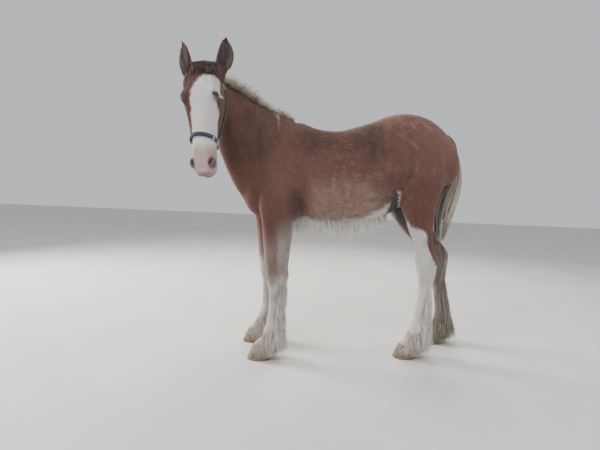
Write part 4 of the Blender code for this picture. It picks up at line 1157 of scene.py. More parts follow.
SKIN = skin_material()
SHORT_HAIR = hair_material("short hair", 0.70, 0.20)
LONG_HAIR = hair_material("long hair", 0.55, 0.12)


def finished(piece, material, replaced=()):
    """Gives a piece its material, the body it rides on and the nodes that it stands for."""
    piece.data.materials.clear()
    piece.data.materials.append(material)
    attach(piece, "root")
    if replaced:
        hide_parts(*replaced)
    return piece


# Coat

skin_points, skin_triangles = build_skin()
skin_normals = normals_of(skin_points, skin_triangles)
skin_centres = skin_points[skin_triangles].mean(axis=1)
skin_regions = region(skin_centres)
skin = mesh_object("skin", skin_points, skin_triangles)
under = coat_colour(skin_points)
paint(skin, mix(under, under * np.array([1.0, 0.86, 0.80]), 0.6))
finished(skin, SKIN, (
    "head", "neck", "torso", "ear_near", "ear_off", "forearm_near_fore", "forearm_off_fore",
    "gaskin_near_hind", "gaskin_off_hind", "cannon_near_fore", "cannon_off_fore",
    "cannon_near_hind", "cannon_off_hind"))


TRUNK_LIE = (
    # place on the off side of trunk or leg and the way the coat lies there, both sides alike
    ((-0.56, 0.08, 1.00), (0.25, 0.35, -0.9)), ((-0.45, 0.18, 1.05), (0.55, 0, -0.8)),
    ((-0.33, 0.12, 1.25), (0.8, 0, -0.5)), ((-0.30, 0.19, 0.95), (0.7, 0, -0.6)),
    ((-0.10, 0.22, 1.05), (0.95, 0, -0.35)), ((-0.10, 0.06, 1.24), (1, 0, -0.1)),
    ((0.10, 0.22, 1.12), (0.95, 0, -0.30)), ((0.10, 0.06, 1.30), (1, 0, 0)),
    ((-0.10, 0.12, 0.76), (1, -0.25, 0)), ((0.10, 0.10, 0.77), (1, -0.2, 0.1)),
    ((0.18, 0.20, 0.98), (0.6, 0, 0.25)), ((0.30, 0.20, 1.20), (0.75, 0, -0.6)),
    ((0.30, 0.08, 1.35), (1, 0, -0.1)), ((0.45, 0.16, 1.20), (0.45, 0, -0.9)),
    ((0.40, 0.18, 0.95), (0.2, 0, -1)), ((0.57, 0.06, 1.15), (0.2, 0, -1)),
    ((-0.41, 0.15, 0.60), (0.1, 0, -1)), ((-0.41, 0.14, 0.30), (0.12, 0, -1)),
    ((0.39, 0.12, 0.72), (0.2, 0, -1)), ((0.43, 0.12, 0.35), (0.15, 0, -1)),
    ((0.63, 0.14, 0.35), (0.15, 0, -1)), ((0.45, 0.14, 0.72), (0.35, 0, -1)),
    ((-0.44, 0.14, 0.08), (0.1, 0, -1)), ((0.38, 0.13, 0.08), (0.1, 0, -1)),
)
FACE_LIE = (
    # the same for the head, as left, out and down
    ((0, 0.07, 0.11), (0, 0, 1)), ((0, 0.06, 0.06), (0, 0, -1)),
    ((0.05, 0.05, 0.07), (0.4, 0, -0.8)), ((0.05, 0.06, 0.16), (0.25, 0, 1)),
    ((0.085, -0.02, 0.20), (0, -0.5, 0.8)), ((0.08, -0.09, 0.12), (0, -0.9, 0.5)),
    ((0.06, 0, 0.30), (0, -0.3, 1)), ((0, 0.055, 0.30), (0, 0, 1)),
    ((0.01, 0.03, 0.45), (0, -0.2, 1)), ((0.05, -0.03, 0.40), (0, -0.4, 0.9)),
    ((0.01, -0.08, 0.40), (0, -0.3, 0.9)), ((0.01, -0.15, 0.20), (0, -0.6, 0.8)),
    ((0.06, -0.02, 0.04), (0.3, -0.6, -0.5)),
)


def both_sides(table, mirror):
    """Places and directions of a table, each row mirrored and then as it is."""
    rows = np.array(table, float)
    pairs = np.stack([rows * mirror, rows], axis=1).reshape(-1, 2, 3)
    return pairs[:, 0], pairs[:, 1]


def lie_controls():
    """Places and directions of the coat's lie on trunk and legs, neck and head."""
    trunk_places, trunk_ways = both_sides(TRUNK_LIE, (1, -1, 1))
    face_places, face_ways = both_sides(FACE_LIE, (-1, 1, 1))
    table = refine(NECK_STATIONS[1:], 2)
    crest, throat = table[:, :3], table[:, 3:6]
    centre = (crest + throat) / 2
    heading = unit(np.gradient(centre, axis=0))
    upward = unit(crest - throat)
    across = unit(np.cross(heading, upward))
    offsets = (across * 0.10, across * -0.10, upward * 0.15, upward * -0.13)
    neck_places = np.vstack([centre + offset for offset in offsets])
    neck_ways = np.tile(-0.8 * heading + np.array([0, 0, -0.40]), (len(offsets), 1))
    places = np.vstack([trunk_places, neck_places, on_head(face_places)])
    return places, unit(np.vstack([trunk_ways, neck_ways, face_ways @ HEAD.T]))


def coat_lie(points, normals):
    """Direction along the skin in which the coat lies, blended from the controls by nearness."""
    places, ways = lie_controls()
    lie = np.zeros_like(points)
    for place, way in zip(places, ways):
        near = 1 / (((points - place) ** 2).sum(axis=1) + 0.0012) ** 1.6
        lie += near[:, None] * way
    share, side = ear_share(points)
    tipward = np.where(side[:, None] > 0, HEAD @ ear_axes(1)[1], HEAD @ ear_axes(-1)[1])
    lie = np.where((share > 0)[:, None], tipward, lie)
    return along_skin(unit(lie), normals)


def along_skin(ways, normals):
    """The directions laid flat on the skin."""
    return unit(ways - normals * (ways * normals).sum(axis=1, keepdims=True))


def turned(ways, normals, angles):
    """Directions on the skin turned about its normals."""
    sideways = np.cross(normals, ways)
    return ways * np.cos(angles)[:, None] + sideways * np.sin(angles)[:, None]


def scatter(chance, count):
    """Random places on the skin, spread by area times the chance of each triangle."""
    corners = skin_points[skin_triangles]
    area = np.linalg.norm(np.cross(corners[:, 1] - corners[:, 0], corners[:, 2] - corners[:, 0]),
                          axis=1)
    total = np.cumsum(area * chance)
    picked = np.searchsorted(total, (np.arange(count) + DRAW.random(count)) / count * total[-1])
    picked = np.minimum(picked, len(chance) - 1)
    a, b = DRAW.random((2, count))
    over = a + b > 1
    a, b = np.where(over, 1 - a, a), np.where(over, 1 - b, b)
    weights = np.stack([1 - a - b, a, b], axis=1)[..., None]
    roots = (corners[picked] * weights).sum(axis=1)
    normals = unit((skin_normals[skin_triangles[picked]] * weights).sum(axis=1))
    return roots, normals


def ear_chart(points):
    """Share up the ear and angle round it, near ear on the left half."""
    side = ear_share(points)[1]
    local = in_head(points)
    u, v = np.zeros(len(points)), np.zeros(len(points))
    for way in (-1, 1):
        foot, upward, opening, across = ear_axes(way)
        offset = local - foot
        angle = np.arctan2(offset @ across, offset @ opening) / (2 * np.pi) + 0.5
        u = np.where(side == way, angle * 0.48 + (0.5 if way < 0 else 0), u)
        v = np.where(side == way, offset @ upward / EAR_LENGTH, v)
    return u, v


def flat_chart(u, v):
    """Two coordinates of the skin stretched to fill the square."""
    flat = np.stack([u, v], axis=1)
    low, high = flat.min(axis=0), flat.max(axis=0)
    return 0.01 + 0.98 * (flat - low) / np.maximum(high - low, 1e-6)


def chart(points, part):
    """An unwrap of the skin for one region: length along it and angle round it, stretched
    to fill the square."""
    name = REGIONS[part]
    x, y, z = points.T
    if name == "ears":
        u, v = ear_chart(points)
    elif name.startswith("head"):
        left, out, down = in_head(points).T
        u, v = np.arctan2(left, out + 0.04), down
    elif name == "neck":
        axis = unit(np.array([-0.47, -0.30, 0.28]))
        side = unit(np.cross(axis, [0, 0, 1]))
        offset = points - np.array([-0.40, -0.02, 1.06])
        u, v = np.arctan2(offset @ side, offset @ np.cross(side, axis)), offset @ axis
    elif "leg" in name:
        leg = next(leg for leg in LEGS if leg[0] == name.split("leg_")[1] + "_" + name[:4])
        u, v = round_leg(leg, points), z
    else:
        u, v = np.arctan2(np.abs(y), z - 1.02), x
    return flat_chart(u, v)


PATCH = 0.003       # size of a tuft's patch on the bake map


def bake_map(piece, roots, corners):
    """Keeps each tuft as a small patch at its root's place on the unwrap."""
    base = np.repeat(roots, corners, axis=0)
    step = np.tile(np.arange(corners) / max(1, corners - 1), len(roots))
    turn = np.tile((np.arange(corners) % 2), len(roots))
    spread(piece, base + PATCH * (np.stack([turn, step], axis=1) - 0.5), "OFBake")


def soft_normals(piece, normals):
    """Shades a piece by the given normals of its points."""
    piece.data.normals_split_custom_set_from_vertices(normals.tolist())


def tufts(name, roots, normals, lies, lengths, widths, lifts, colours, places):
    """Flat pointed tufts of four faces: two root corners, a raised back and a tip.

    The back is at 0.45 of the length, the tip at the whole of it, both along the lie and
    raised by the lift; the root corners are sunk in the skin.
    """
    count = len(roots)
    sideways = np.cross(normals, lies)
    length, width, lift = lengths[:, None], widths[:, None], lifts[:, None]
    sunk = roots - normals * ROOT_SINK
    back = roots + lies * 0.45 * length + normals * (0.75 * lift + 0.20 * width)
    tip = roots + lies * length + normals * lift
    points = np.stack([sunk + sideways * width / 2, sunk - sideways * width / 2, back, tip], axis=1)
    faces = np.array([(1, 2, 0), (1, 3, 2), (3, 0, 2), (1, 0, 3)])
    faces = (faces[None] + 4 * np.arange(count)[:, None, None]).reshape(-1, 3)
    piece = mesh_object(name, points.reshape(-1, 3), faces)
    # Root corners darker and the tip lighter than the coat: painted shade down among the hair and a
    # painted highlight at the tips.
    shades = np.stack([colours * 0.62, colours * 0.62, colours, colours * 1.14], axis=1)
    paint(piece, np.clip(shades, 0, 0.95).reshape(-1, 3))
    tilt = np.stack([sideways, -sideways, lies * 0.1, lies * 0.5], axis=1)
    soft_normals(piece, unit(normals[:, None] + 0.35 * tilt).reshape(-1, 3))
    bake_map(piece, places, 4)
    return piece


def tuft_sizes(name, roots):
    """Length, width and lift of the tufts at places of a region, finest on the face."""
    if name.startswith("head"):
        local = in_head(roots)
        down_face = ramp(0.10, 0.44, local[:, 2])
        length = mix(0.012, 0.0045, down_face)
        length = length * mix(0.6, 1.0, ramp(0.024, 0.04, from_the_eye(local)))
        return length, mix(0.0021, 0.0012, down_face), 0.14 * length
    if name == "ears":
        length = np.full(len(roots), 0.008)
        return length, 0.20 * length, 0.16 * length
    if "leg" in name:
        length = mix(0.012, 0.020, ramp(0.15, 0.70, roots[:, 2]))
        return length, 0.17 * length, 0.20 * length
    length = np.full(len(roots), 0.023)
    return length, np.full(len(roots), 0.0036), 0.20 * length


BARE_LID = 0.0235       # from the middle of the eye, within which no coat grows
ROOT_SINK = 0.0012      # how deep a tuft's root stands in the skin
TUFT_COUNTS = (24000, 20000, 8000, 25000, 21000, 18000, 27000, 19000, 11000, 9000, 12000, 10000)


def short_coat():
    """The coat of every region, each a piece of its own."""
    above_hoof = ramp(0.035, 0.045, skin_centres[:, 2])
    for part, name in enumerate(REGIONS):
        roots, normals = scatter((skin_regions == part) * above_hoof, TUFT_COUNTS[part])
        off_eye = from_the_eye(in_head(roots)) > BARE_LID
        roots, normals = roots[off_eye], normals[off_eye]
        count = len(roots)
        lies = coat_lie(roots, normals)
        swirl = 0.20 * noise(roots, 0.05, 51) + 0.12 * noise(roots, 0.018, 52)
        lies = turned(lies, normals, swirl + 0.16 * DRAW.standard_normal(count))
        length, width, lift = tuft_sizes(name, roots)
        length = length * DRAW.uniform(0.75, 1.25, count)
        width = width * DRAW.uniform(0.75, 1.25, count)
        lift = lift * DRAW.uniform(0.6, 1.5, count)
        ragged = roots + 0.0025 * DRAW.standard_normal((count, 3))
        # Lighter and darker streaks along the lie: painted sheen on clumps of hair.
        clumps = 1 + 0.10 * noise(roots - 0.7 * lies * (roots * lies).sum(axis=1)[:, None], 0.016, 53)
        colours = coat_colour(ragged) * DRAW.uniform(0.82, 1.16, (count, 1)) * clumps[:, None]
        finished(tufts("coat_" + name, roots, normals, lies, length, width, lift, colours,
                       chart(roots, part)), SHORT_HAIR)


short_coat()


# Long hair

def locks_along(name, path, faces, widths, root_colour, tip_colour, places):
    """Tapered hair locks of three-sided section along given paths, shaded from root to tip."""
    count, rows = path.shape[:2]
    along = unit(np.gradient(path, axis=1))
    across = unit(np.cross(along, faces[:, None]))
    lift = unit(np.cross(across, along))
    taper = np.interp(np.linspace(0, 1, rows), (0, 0.12, 0.62, 1), (0.7, 1.0, 0.78, 0.06))
    half = widths[:, None, None] / 2 * taper[None, :, None]
    rings = np.stack([path + across * half, path + lift * half * 0.7, path - across * half], axis=2)
    corners = 3 * rows
    ring_faces = grid_faces(rows, 3)
    triangles = np.vstack([ring_faces[:, [0, 1, 2]], ring_faces[:, [0, 2, 3]],
                           [(0, 2, 1)], [(corners - 3, corners - 2, corners - 1)]])
    volume = np.einsum("ij,ij->i", along[:, 0], np.cross(rings[:, 0, 1] - rings[:, 0, 0],
                                                         rings[:, 0, 2] - rings[:, 0, 0]))
    if np.median(volume) < 0:
        triangles = triangles[:, ::-1]
    triangles = (triangles[None] + corners * np.arange(count)[:, None, None]).reshape(-1, 3)
    piece = mesh_object(name, rings.reshape(-1, 3), triangles)
    # Callers give darker root colours: painted shade down among the hair.
    share = np.linspace(0, 1, rows)[None, :, None]
    shades = root_colour[:, None] * (1 - share) + tip_colour[:, None] * share
    paint(piece, np.clip(np.repeat(shades, 3, axis=1), 0, 0.95).reshape(-1, 3))
    bake_map(piece, places, corners)
    return piece


LOCK_SINK = 0.004       # how deep a lock's root stands in the skin


def strands(name, roots, starts, ends, faces, lengths, widths, root_colour, tip_colour,
            places, steps=5, turn=1.6, wave=0.10):
    """A finished piece of hair locks that bend from one direction to another in equal steps.

    The end direction is reached 1 / turn of the way along, with a slow sideways wave of
    each lock's own.
    """
    count = len(roots)
    starts, ends = unit(starts), unit(ends)
    point = roots - starts * LOCK_SINK
    path = [point]
    phase = DRAW.uniform(0, 2 * np.pi, (count, 1))
    sway = unit(DRAW.standard_normal((count, 3)))
    step_length = ((lengths + LOCK_SINK) / steps)[:, None]
    for step in range(steps):
        share = min(1.0, turn * (step + 0.5) / steps)
        run = unit(starts * (1 - share) + ends * share)
        run = unit(run + wave * sway * np.sin(phase + 3.2 * step / steps * 2))
        point = point + run * step_length
        path.append(point)
    piece = locks_along(name, np.stack(path, axis=1), faces, widths, root_colour, tip_colour,
                        places)
    return finished(piece, LONG_HAIR)


def varied(colours, count, amount=0.18):
    """The colour made lighter or darker for each lock."""
    return colours * DRAW.uniform(1 - amount, 1 + amount, (count, 1))


FRINGE_TIPS = np.array([(-0.33, 0.70), (-0.295, 0.685), (-0.265, 0.640), (-0.21, 0.668),
                        (-0.156, 0.682), (-0.076, 0.682), (-0.012, 0.630), (0.04, 0.672),
                        (0.10, 0.692), (0.153, 0.714), (0.213, 0.756)])


def belly_fringe():
    """Cream hair under the belly, longest behind the elbows and before the sheath."""
    x, y, z = skin_centres.T
    chance = ramp(-0.34, -0.29, x) * ramp(0.24, 0.16, x) * ramp(0.115, 0.07, np.abs(y)) * (z < 0.80)
    chance = chance * (skin_normals[skin_triangles[:, 0], 2] < -0.2) * (z > 0.66)
    count = 2800
    roots, normals = scatter(chance, count)
    tip = np.interp(roots[:, 0] + 0.012, FRINGE_TIPS[:, 0], FRINGE_TIPS[:, 1])
    edge = ramp(0.11, 0.05, np.abs(roots[:, 1]))
    wisps = 1.05 + 0.50 * noise(roots, 0.020, 60)
    lengths = (roots[:, 2] - tip + 0.010) * mix(0.60, 1.0, edge) * np.clip(wisps, 0.55, 1.25)
    lengths = np.maximum(0.026, lengths) * DRAW.uniform(0.65, 1.12, count)
    clump = noise(roots, 0.022, 61)[:, None] * np.array([0.45, 0.20, 0])
    ends = np.array([0.25, 0, -1]) + clump + 0.12 * DRAW.standard_normal((count, 3))
    starts = normals + np.array([0.5, 0, -0.3])
    faces = np.column_stack([np.zeros(count), np.sign(roots[:, 1] - 0.02), np.full(count, -0.3)])
    # White hair made brighter than WHITE_HAIR is painted light on the fringe; the darker roots are
    # painted shade under the belly.
    hair = mix(WHITE_HAIR * 1.08, FLAXEN, DRAW.random(count) * 0.35)
    at_root = mix(coat_colour(roots), hair, 0.45) * 0.9
    strands("belly_fringe", roots, starts, ends, faces, lengths,
            DRAW.uniform(0.0014, 0.0030, count), varied(at_root, count, 0.15),
            varied(hair, count, 0.08), flat_chart(roots[:, 0], roots[:, 1]))


def feather():
    """Long straight hair behind each cannon, over the heels and round the top of the hoof."""
    z = skin_centres[:, 2]
    for part, leg in enumerate(LEGS, REGIONS.index("foreleg_near")):
        share = across_leg(leg, skin_centres)[0]
        behind = ramp(0.45, 0.85, share) * ramp(0.43, 0.33, z)
        around = ramp(0.17, 0.12, z) * mix(0.45, 1.0, ramp(0.0, 0.5, share))
        chance = (skin_regions == part) * np.maximum(behind, around) * (z > 0.050)
        count = 2400 if "hind" in leg[0] else 2200
        roots, normals = scatter(chance, count)
        share = np.clip(across_leg(leg, roots)[0], 0, 1)
        full = np.interp(roots[:, 2], (0.05, 0.09, 0.125, 0.16, 0.22, 0.30, 0.37, 0.44),
                         (0.050, 0.082, 0.110, 0.13, 0.12, 0.095, 0.065, 0.03))
        low = ramp(0.16, 0.11, roots[:, 2])
        at_front = mix(0.45, 0.72, low)
        lengths = full * mix(at_front, 1.0, ramp(0.1, 0.6, share)) * DRAW.uniform(0.7, 1.1, count)
        lengths = np.minimum(lengths, np.maximum(roots[:, 2] - 0.012, 0.02))
        clump = 0.10 * np.column_stack([noise(roots, 0.016, 62), noise(roots, 0.016, 63),
                                        np.zeros(count)])
        flat_normals = unit(normals * np.array([1, 1, 0.2]))
        starts = 0.7 * flat_normals + np.array([0, 0, -0.9])
        spread_out = mix(0.18, mix(0.46, 0.26, ramp(0.0, 0.5, share)), low)[:, None]
        flare = (0.20 if leg[0] == "off_hind" else 0.06) * ramp(0.5, 1.0, share)
        ends = spread_out * flat_normals + clump + 0.05 * DRAW.standard_normal((count, 3))
        ends = ends + np.column_stack([flare, np.zeros(count), np.full(count, -1.0)])
        soil, light = SOIL_AND_SHADE[leg[0]][::2]
        soiled = 0.5 * noise(roots, 0.04, 64) + 0.6 * ramp(0.2, 0.06, roots[:, 2])
        hair = mix(WHITE_HAIR, STAINED_WHITE, np.clip(soil + 0.2 + soiled, 0, 1))
        # light dims the feather: painted shade, fading towards the rear edge
        hair = hair * mix(light, 1.0, 0.7 * ramp(0.7, 1.0, share))[:, None]
        blend = ramp(0.40, 0.30, roots[:, 2])
        hair = mix(coat_colour(roots), hair, mix(0.3, 0.8, blend))
        strands("feather_" + leg[0], roots, starts, ends, flat_normals, lengths,
                DRAW.uniform(0.0020, 0.0040, count), varied(hair * 0.8, count),
                varied(hair, count, 0.12), flat_chart(round_leg(leg, roots), roots[:, 2]))


def crest_places(share):
    """Crest point, upward, rearward and sideways directions at shares of the way to the poll."""
    table = refine(NECK_STATIONS[1:-1], 8)

    def at_share(rows):
        along = np.linspace(0, 1, len(rows))
        return np.stack([np.interp(share, along, column) for column in rows.T], axis=1)

    crest = at_share(table[:, :3])
    upward = unit(crest - at_share(table[:, 3:6]))
    rearward = -unit(at_share(np.gradient(table[:, :3], axis=0)))
    return crest, upward, rearward, unit(np.cross(upward, rearward))


def mane():
    """Short bristly mane along the crest, falling to both sides."""
    count = 3200
    share = np.sort(DRAW.uniform(0.0, 1.0, count))
    crest, upward, rearward, side = crest_places(share)
    way = DRAW.uniform(-1, 1, count)[:, None]
    roots = crest + side * 0.013 * way - upward * (0.006 + 0.004 * np.abs(way))
    clump = np.column_stack([noise(roots, 0.018, 65), noise(roots, 0.024, 66)])
    starts = upward + side * 0.5 * way + rearward * (0.15 + 0.5 * clump[:, [0]])
    droop = DRAW.uniform(-0.45, 0.55, (count, 1))
    ends = side * (1.0 * way + 0.35 * clump[:, [1]]) + rearward * (0.55 + 0.6 * clump[:, [0]])
    ends = ends + upward * droop + 0.20 * DRAW.standard_normal((count, 3))
    lengths = mix(0.060, 0.080, share) * DRAW.uniform(0.45, 1.20, count) * ramp(-0.06, 0.10, share)
    lengths = lengths * (1 + 0.35 * clump[:, 1])
    light = np.clip(0.25 + DRAW.random(count) * 0.9 + 0.6 * clump[:, 0], 0, 1)
    hair = mix(DARK_HAIR, FLAXEN, light)
    # Roots darker and tips a quarter lighter than the hair: painted shade within the mane and painted
    # rim light on its tips.
    strands("mane", roots, starts, ends, upward, lengths,
            DRAW.uniform(0.0016, 0.0030, count), varied(hair * 0.72, count, 0.3),
            varied(hair * 1.25, count, 0.3), flat_chart(share, way[:, 0]), turn=1.2)


def wisp():
    """A longer pale lock that hangs down the near side of the neck before the withers."""
    count = 46
    crest = crest_places(np.full(count, 0.22))[0]
    roots = crest + 0.007 * DRAW.standard_normal((count, 3)) + np.array([0, -0.012, -0.006])
    starts = np.array([0.1, -1, 0.4]) + 0.2 * DRAW.standard_normal((count, 3))
    ends = np.array([0.20, -0.30, -1]) + 0.10 * DRAW.standard_normal((count, 3))
    hair = mix(FAWN, FLAXEN, DRAW.random(count))
    strands("mane_wisp", roots, starts, ends,
            np.tile([0, -1.0, 0.2], (count, 1)), DRAW.uniform(0.06, 0.140, count),
            DRAW.uniform(0.0010, 0.0016, count), varied(hair * 0.7, count), varied(hair, count),
            DRAW.uniform(0.1, 0.9, (count, 2)), turn=2.4)


def forelock():
    """Short tufts between the ears that fall on the forehead."""
    count = 1000
    left = DRAW.uniform(-0.058, 0.058, count)
    down = DRAW.uniform(-0.028, 0.030, count)
    inset = 0.022 * (left / 0.058) ** 2
    spot = np.column_stack([left, np.interp(down, (-0.034, -0.02, 0.012, 0.03),
                                            (-0.012, 0.016, 0.038, 0.046)) - inset, down])
    roots = on_head(spot)
    clump = noise(roots, 0.014, 67)
    starts = np.column_stack([left * 5 + 0.5 * clump, np.full(count, 0.75), np.full(count, -0.55)])
    starts = starts @ HEAD.T
    ends = np.column_stack([left * 5 + 0.6 * clump, np.full(count, 0.35), np.full(count, 0.9)])
    ends = ends @ HEAD.T + 0.25 * DRAW.standard_normal((count, 3))
    hair = mix(DARK_HAIR, RED_BAY, DRAW.random(count) * 0.8)
    hair = mix(hair, FLAXEN, (DRAW.random(count) > 0.93) * 0.6)
    lengths = DRAW.uniform(0.018, 0.044, count) * (1 + 0.35 * clump)
    strands("forelock", roots, starts, ends, starts, lengths,
            DRAW.uniform(0.0012, 0.0024, count), varied(hair * 0.6, count),
            varied(hair, count), flat_chart(left, down), turn=1.5)


def ear_hair():
    """Pale hair inside each ear and along its rims."""
    for name, side in SIDES:
        count = 420
        upward, opening, across = ear_axes(side)[1:]
        share = DRAW.uniform(0.03, 0.72, count)
        half_width = np.interp(share, *refine(EAR_LEAF, 4)[:, :2].T)
        rim = DRAW.uniform(-0.80, 0.80, count)
        deep = 0.012 * (1 - np.abs(rim))
        local = (ear_middle(side, share) + across * (half_width * rim)[:, None]
                 - opening * deep[:, None])
        starts = (opening * 0.8 - across * rim[:, None] * 0.4 + upward * 0.3) @ HEAD.T
        ends = (upward + opening * 0.25 - across * rim[:, None] * 0.4) @ HEAD.T
        ends = ends + 0.12 * DRAW.standard_normal((count, 3))
        pale = ramp(0.3, 0.8, rim * side) * ramp(0.75, 0.2, share)
        hair = mix(GREY_COAT * 0.7, FLAXEN, DRAW.random(count) * pale)
        strands("ear_hair_" + name, on_head(local), starts, ends, starts,
                DRAW.uniform(0.008, 0.022, count), DRAW.uniform(0.0008, 0.0014, count),
                varied(hair * 0.5, count), varied(hair * 0.9, count),
                flat_chart(rim, share), steps=4)


DOCK_END = 0.98         # height at which the dock ends within the hair
TAIL_STATIONS = (
    # height, front x, rear x, half width
    (1.262, 0.500, 0.560, 0.024), (1.225, 0.530, 0.603, 0.030), (1.165, 0.560, 0.630, 0.036),
    (1.09, 0.580, 0.645, 0.042), (0.99, 0.562, 0.657, 0.046), (0.90, 0.532, 0.645, 0.048),
    (0.80, 0.516, 0.618, 0.042), (0.70, 0.517, 0.594, 0.030), (0.646, 0.540, 0.572, 0.010),
)


def tail_dock(rows):
    """The fleshy dock within the top of the tail."""
    dock = rows[rows[:, 0] > DOCK_END]
    thin = 1 - 0.75 * (TAIL_STATIONS[0][0] - dock[:, 0]) / 0.28
    middle, reach = (dock[:, 1] + dock[:, 2]) / 2, (dock[:, 2] - dock[:, 1]) / 2 * thin
    across, along = sections(dock[:, 3] * thin, reach, -reach, 0, 2.0, 20)
    rings = np.stack([middle[:, None] + along, across,
                      np.broadcast_to(dock[:, :1], along.shape)], axis=-1)
    core = closed_tube("tail_dock", rings)
    paint(core, coat_colour(tube_parts(rings)[0]) * 0.8)
    finished(core, SKIN, ("tail",))


def tail():
    """Dock and hair of the tail: grey within, flaxen outside, narrowing above the hocks."""
    rows = refine(TAIL_STATIONS, 6)
    tail_dock(rows)
    count = 3000
    order = np.sort(DRAW.random(count)) ** 0.8
    root_height = 1.255 - 0.270 * order
    tip_height = np.maximum(0.648 + 0.11 * DRAW.random(count) ** 2,
                            root_height - DRAW.uniform(0.26, 0.60, count))
    angle = DRAW.uniform(0, 2 * np.pi, count)
    radius = DRAW.uniform(0.35, 1.0, count) ** 0.6
    steps = 8
    share = np.linspace(0, 1, steps + 1)[None]
    height = root_height[:, None] + (tip_height - root_height)[:, None] * share
    front, rear, half_width = (np.interp(-height, -rows[:, 0], rows[:, c]) for c in (1, 2, 3))
    fullness = (0.40 + 0.60 * np.minimum(1, share * 2.5)) * radius[:, None]
    bundle = np.round(angle / 0.35) * 0.35
    twist = angle[:, None] + (bundle - angle)[:, None] * 0.75 * share
    waviness = 0.004 * np.sin(share * 9 + bundle[:, None] * 7)
    waviness = waviness + 0.002 * np.sin(share * 21 + angle[:, None])
    path = np.stack([(front + rear) / 2 + (rear - front) / 2 * fullness * np.cos(twist) + waviness,
                     half_width * fullness * np.sin(twist) + waviness * np.cos(bundle)[:, None],
                     height], axis=-1)
    outward = np.stack([np.cos(angle), np.sin(angle), np.zeros(count)], axis=-1)
    rearmost = 0.5 + 0.5 * np.cos(angle)
    outer = np.clip(1.5 * radius * rearmost - 0.15 + 0.35 * DRAW.standard_normal(count), 0, 1)
    bundle_shade = 0.5 + 0.5 * np.sin(bundle * 9.7 + 3.0 * order)
    hair = mix(mix(SILVER, DARK_HAIR, 0.7 * bundle_shade), FLAXEN, outer)
    top = ramp(1.10, 1.24, root_height)
    hair = mix(hair, mix(FLAXEN, CHESTNUT, DRAW.random(count)), 0.6 * top)
    piece = locks_along("tail_hair", path, outward, DRAW.uniform(0.0018, 0.0036, count),
                        varied(hair * 0.85, count), varied(hair, count, 0.12),
                        flat_chart(angle, root_height))
    finished(piece, LONG_HAIR)


belly_fringe()
feather()
mane()
wisp()
forelock()
ear_hair()
tail()


# Eyes

def eye_material():
    """Dark eye: a long black pupil in a brown iris, greyer at the rim, under a soft gloss."""
    material, tree, principled = surface("eye", {
        "Roughness": 0.24, "Specular IOR Level": 0.35, "Coat Weight": 0.15, "Coat Roughness": 0.1})
    place = node(tree, "ShaderNodeUVMap", {"uv_map": "UVMap"})
    u, v = (part - 0.5 for part in parts_of(tree, place)[:2])
    pupil = u * u * 40.0 + v * v * 120.0
    disc = (u * u + v * v) * 4.0
    streaks = speckle(tree, place, 26.0, 4.0)
    iris = graded(tree, streaks, (0.0, srgb(52, 34, 32)), (0.55, srgb(82, 56, 48)),
                  (1.0, srgb(110, 78, 64)))
    inside = graded(tree, pupil, (0.55, srgb(8, 8, 12)), (0.80, (1.0, 1.0, 1.0)))
    lens = mixed(tree, 1.0, iris, inside, "MULTIPLY")
    rim = graded(tree, disc, (0.70, (0.0, 0.0, 0.0)), (0.86, (1.0, 1.0, 1.0)))
    feed(tree, principled, Base_Color=mixed(tree, rim, lens, (*srgb(96, 70, 66), 1)))
    return material


def eyes():
    """Each eyeball: rings round its axis, with the cornea bulging a little at the front."""
    material = eye_material()
    for name, side in SIDES:
        rows, sides = 40, 64
        latitude, longitude, local = globe(rows, sides, 0.001)
        radius = EYE_RADIUS - 0.0002 + 0.0008 * bell(latitude, 0, 0.55)
        points = eye_centre(side) + (local * radius[..., None]) @ eye_axes(side).T
        piece = recalculated(mesh_object("eyeball_" + name, points.reshape(-1, 3),
                                         grid_faces(rows, sides)))
        reach = np.minimum(latitude / 1.2, 1.0) * 0.5
        uv = np.stack([0.5 + reach * np.cos(longitude), 0.5 + reach * np.sin(longitude)], axis=-1)
        spread(piece, uv.reshape(-1, 2))
        finished(piece, material, ("eye_" + name,))


def lid_material():
    """Damp dark skin of the lid rims, blotched with pink."""
    material, tree, principled = surface("lid rim", {"Roughness": 0.38, "Specular IOR Level": 0.5})
    blotch = speckle(tree, object_place(tree), 160.0, 3.0)
    shade = graded(tree, blotch, (0.35, srgb(72, 54, 56)), (0.65, srgb(116, 86, 82)))
    feed(tree, principled, Base_Color=shade, Normal=bumped(tree, blotch, 0.0006, 0.6))
    return material


LID_REACH, LID_OPEN = 0.0172, 0.0098    # half the length and half the height of the opening
LID_LIFT, LID_THICK = 0.0016, 0.0019    # middle of the rim off the eyeball and its half width
LASH_REACH, LASH_OPEN, LASH_LIFT = 0.0168, 0.0100, 0.0022


def lids():
    """A soft rim round each eye's opening: a thick line along an almond path on the eyeball."""
    material = lid_material()
    for name, side in SIDES:
        turn = round_angles(72)
        wide = LID_REACH * np.cos(turn)
        high = LID_OPEN * np.sin(turn) * (1 - 0.25 * np.cos(turn))
        radius = EYE_RADIUS + LID_LIFT
        deep = np.sqrt(np.maximum(radius ** 2 - wide ** 2 - high ** 2, 1e-6))
        path = np.stack([wide, high, deep], axis=-1)
        along = unit(np.roll(path, -1, axis=0) - np.roll(path, 1, axis=0))
        outward = unit(path)
        across = np.cross(along, outward)
        around = round_angles(12)
        profile = LID_THICK * np.column_stack([np.cos(around), 0.8 * np.sin(around)])
        rings = eye_centre(side) + swept(path, across, outward, profile) @ eye_axes(side).T
        finished(closed_ring("lid_rim_" + name, rings), material)


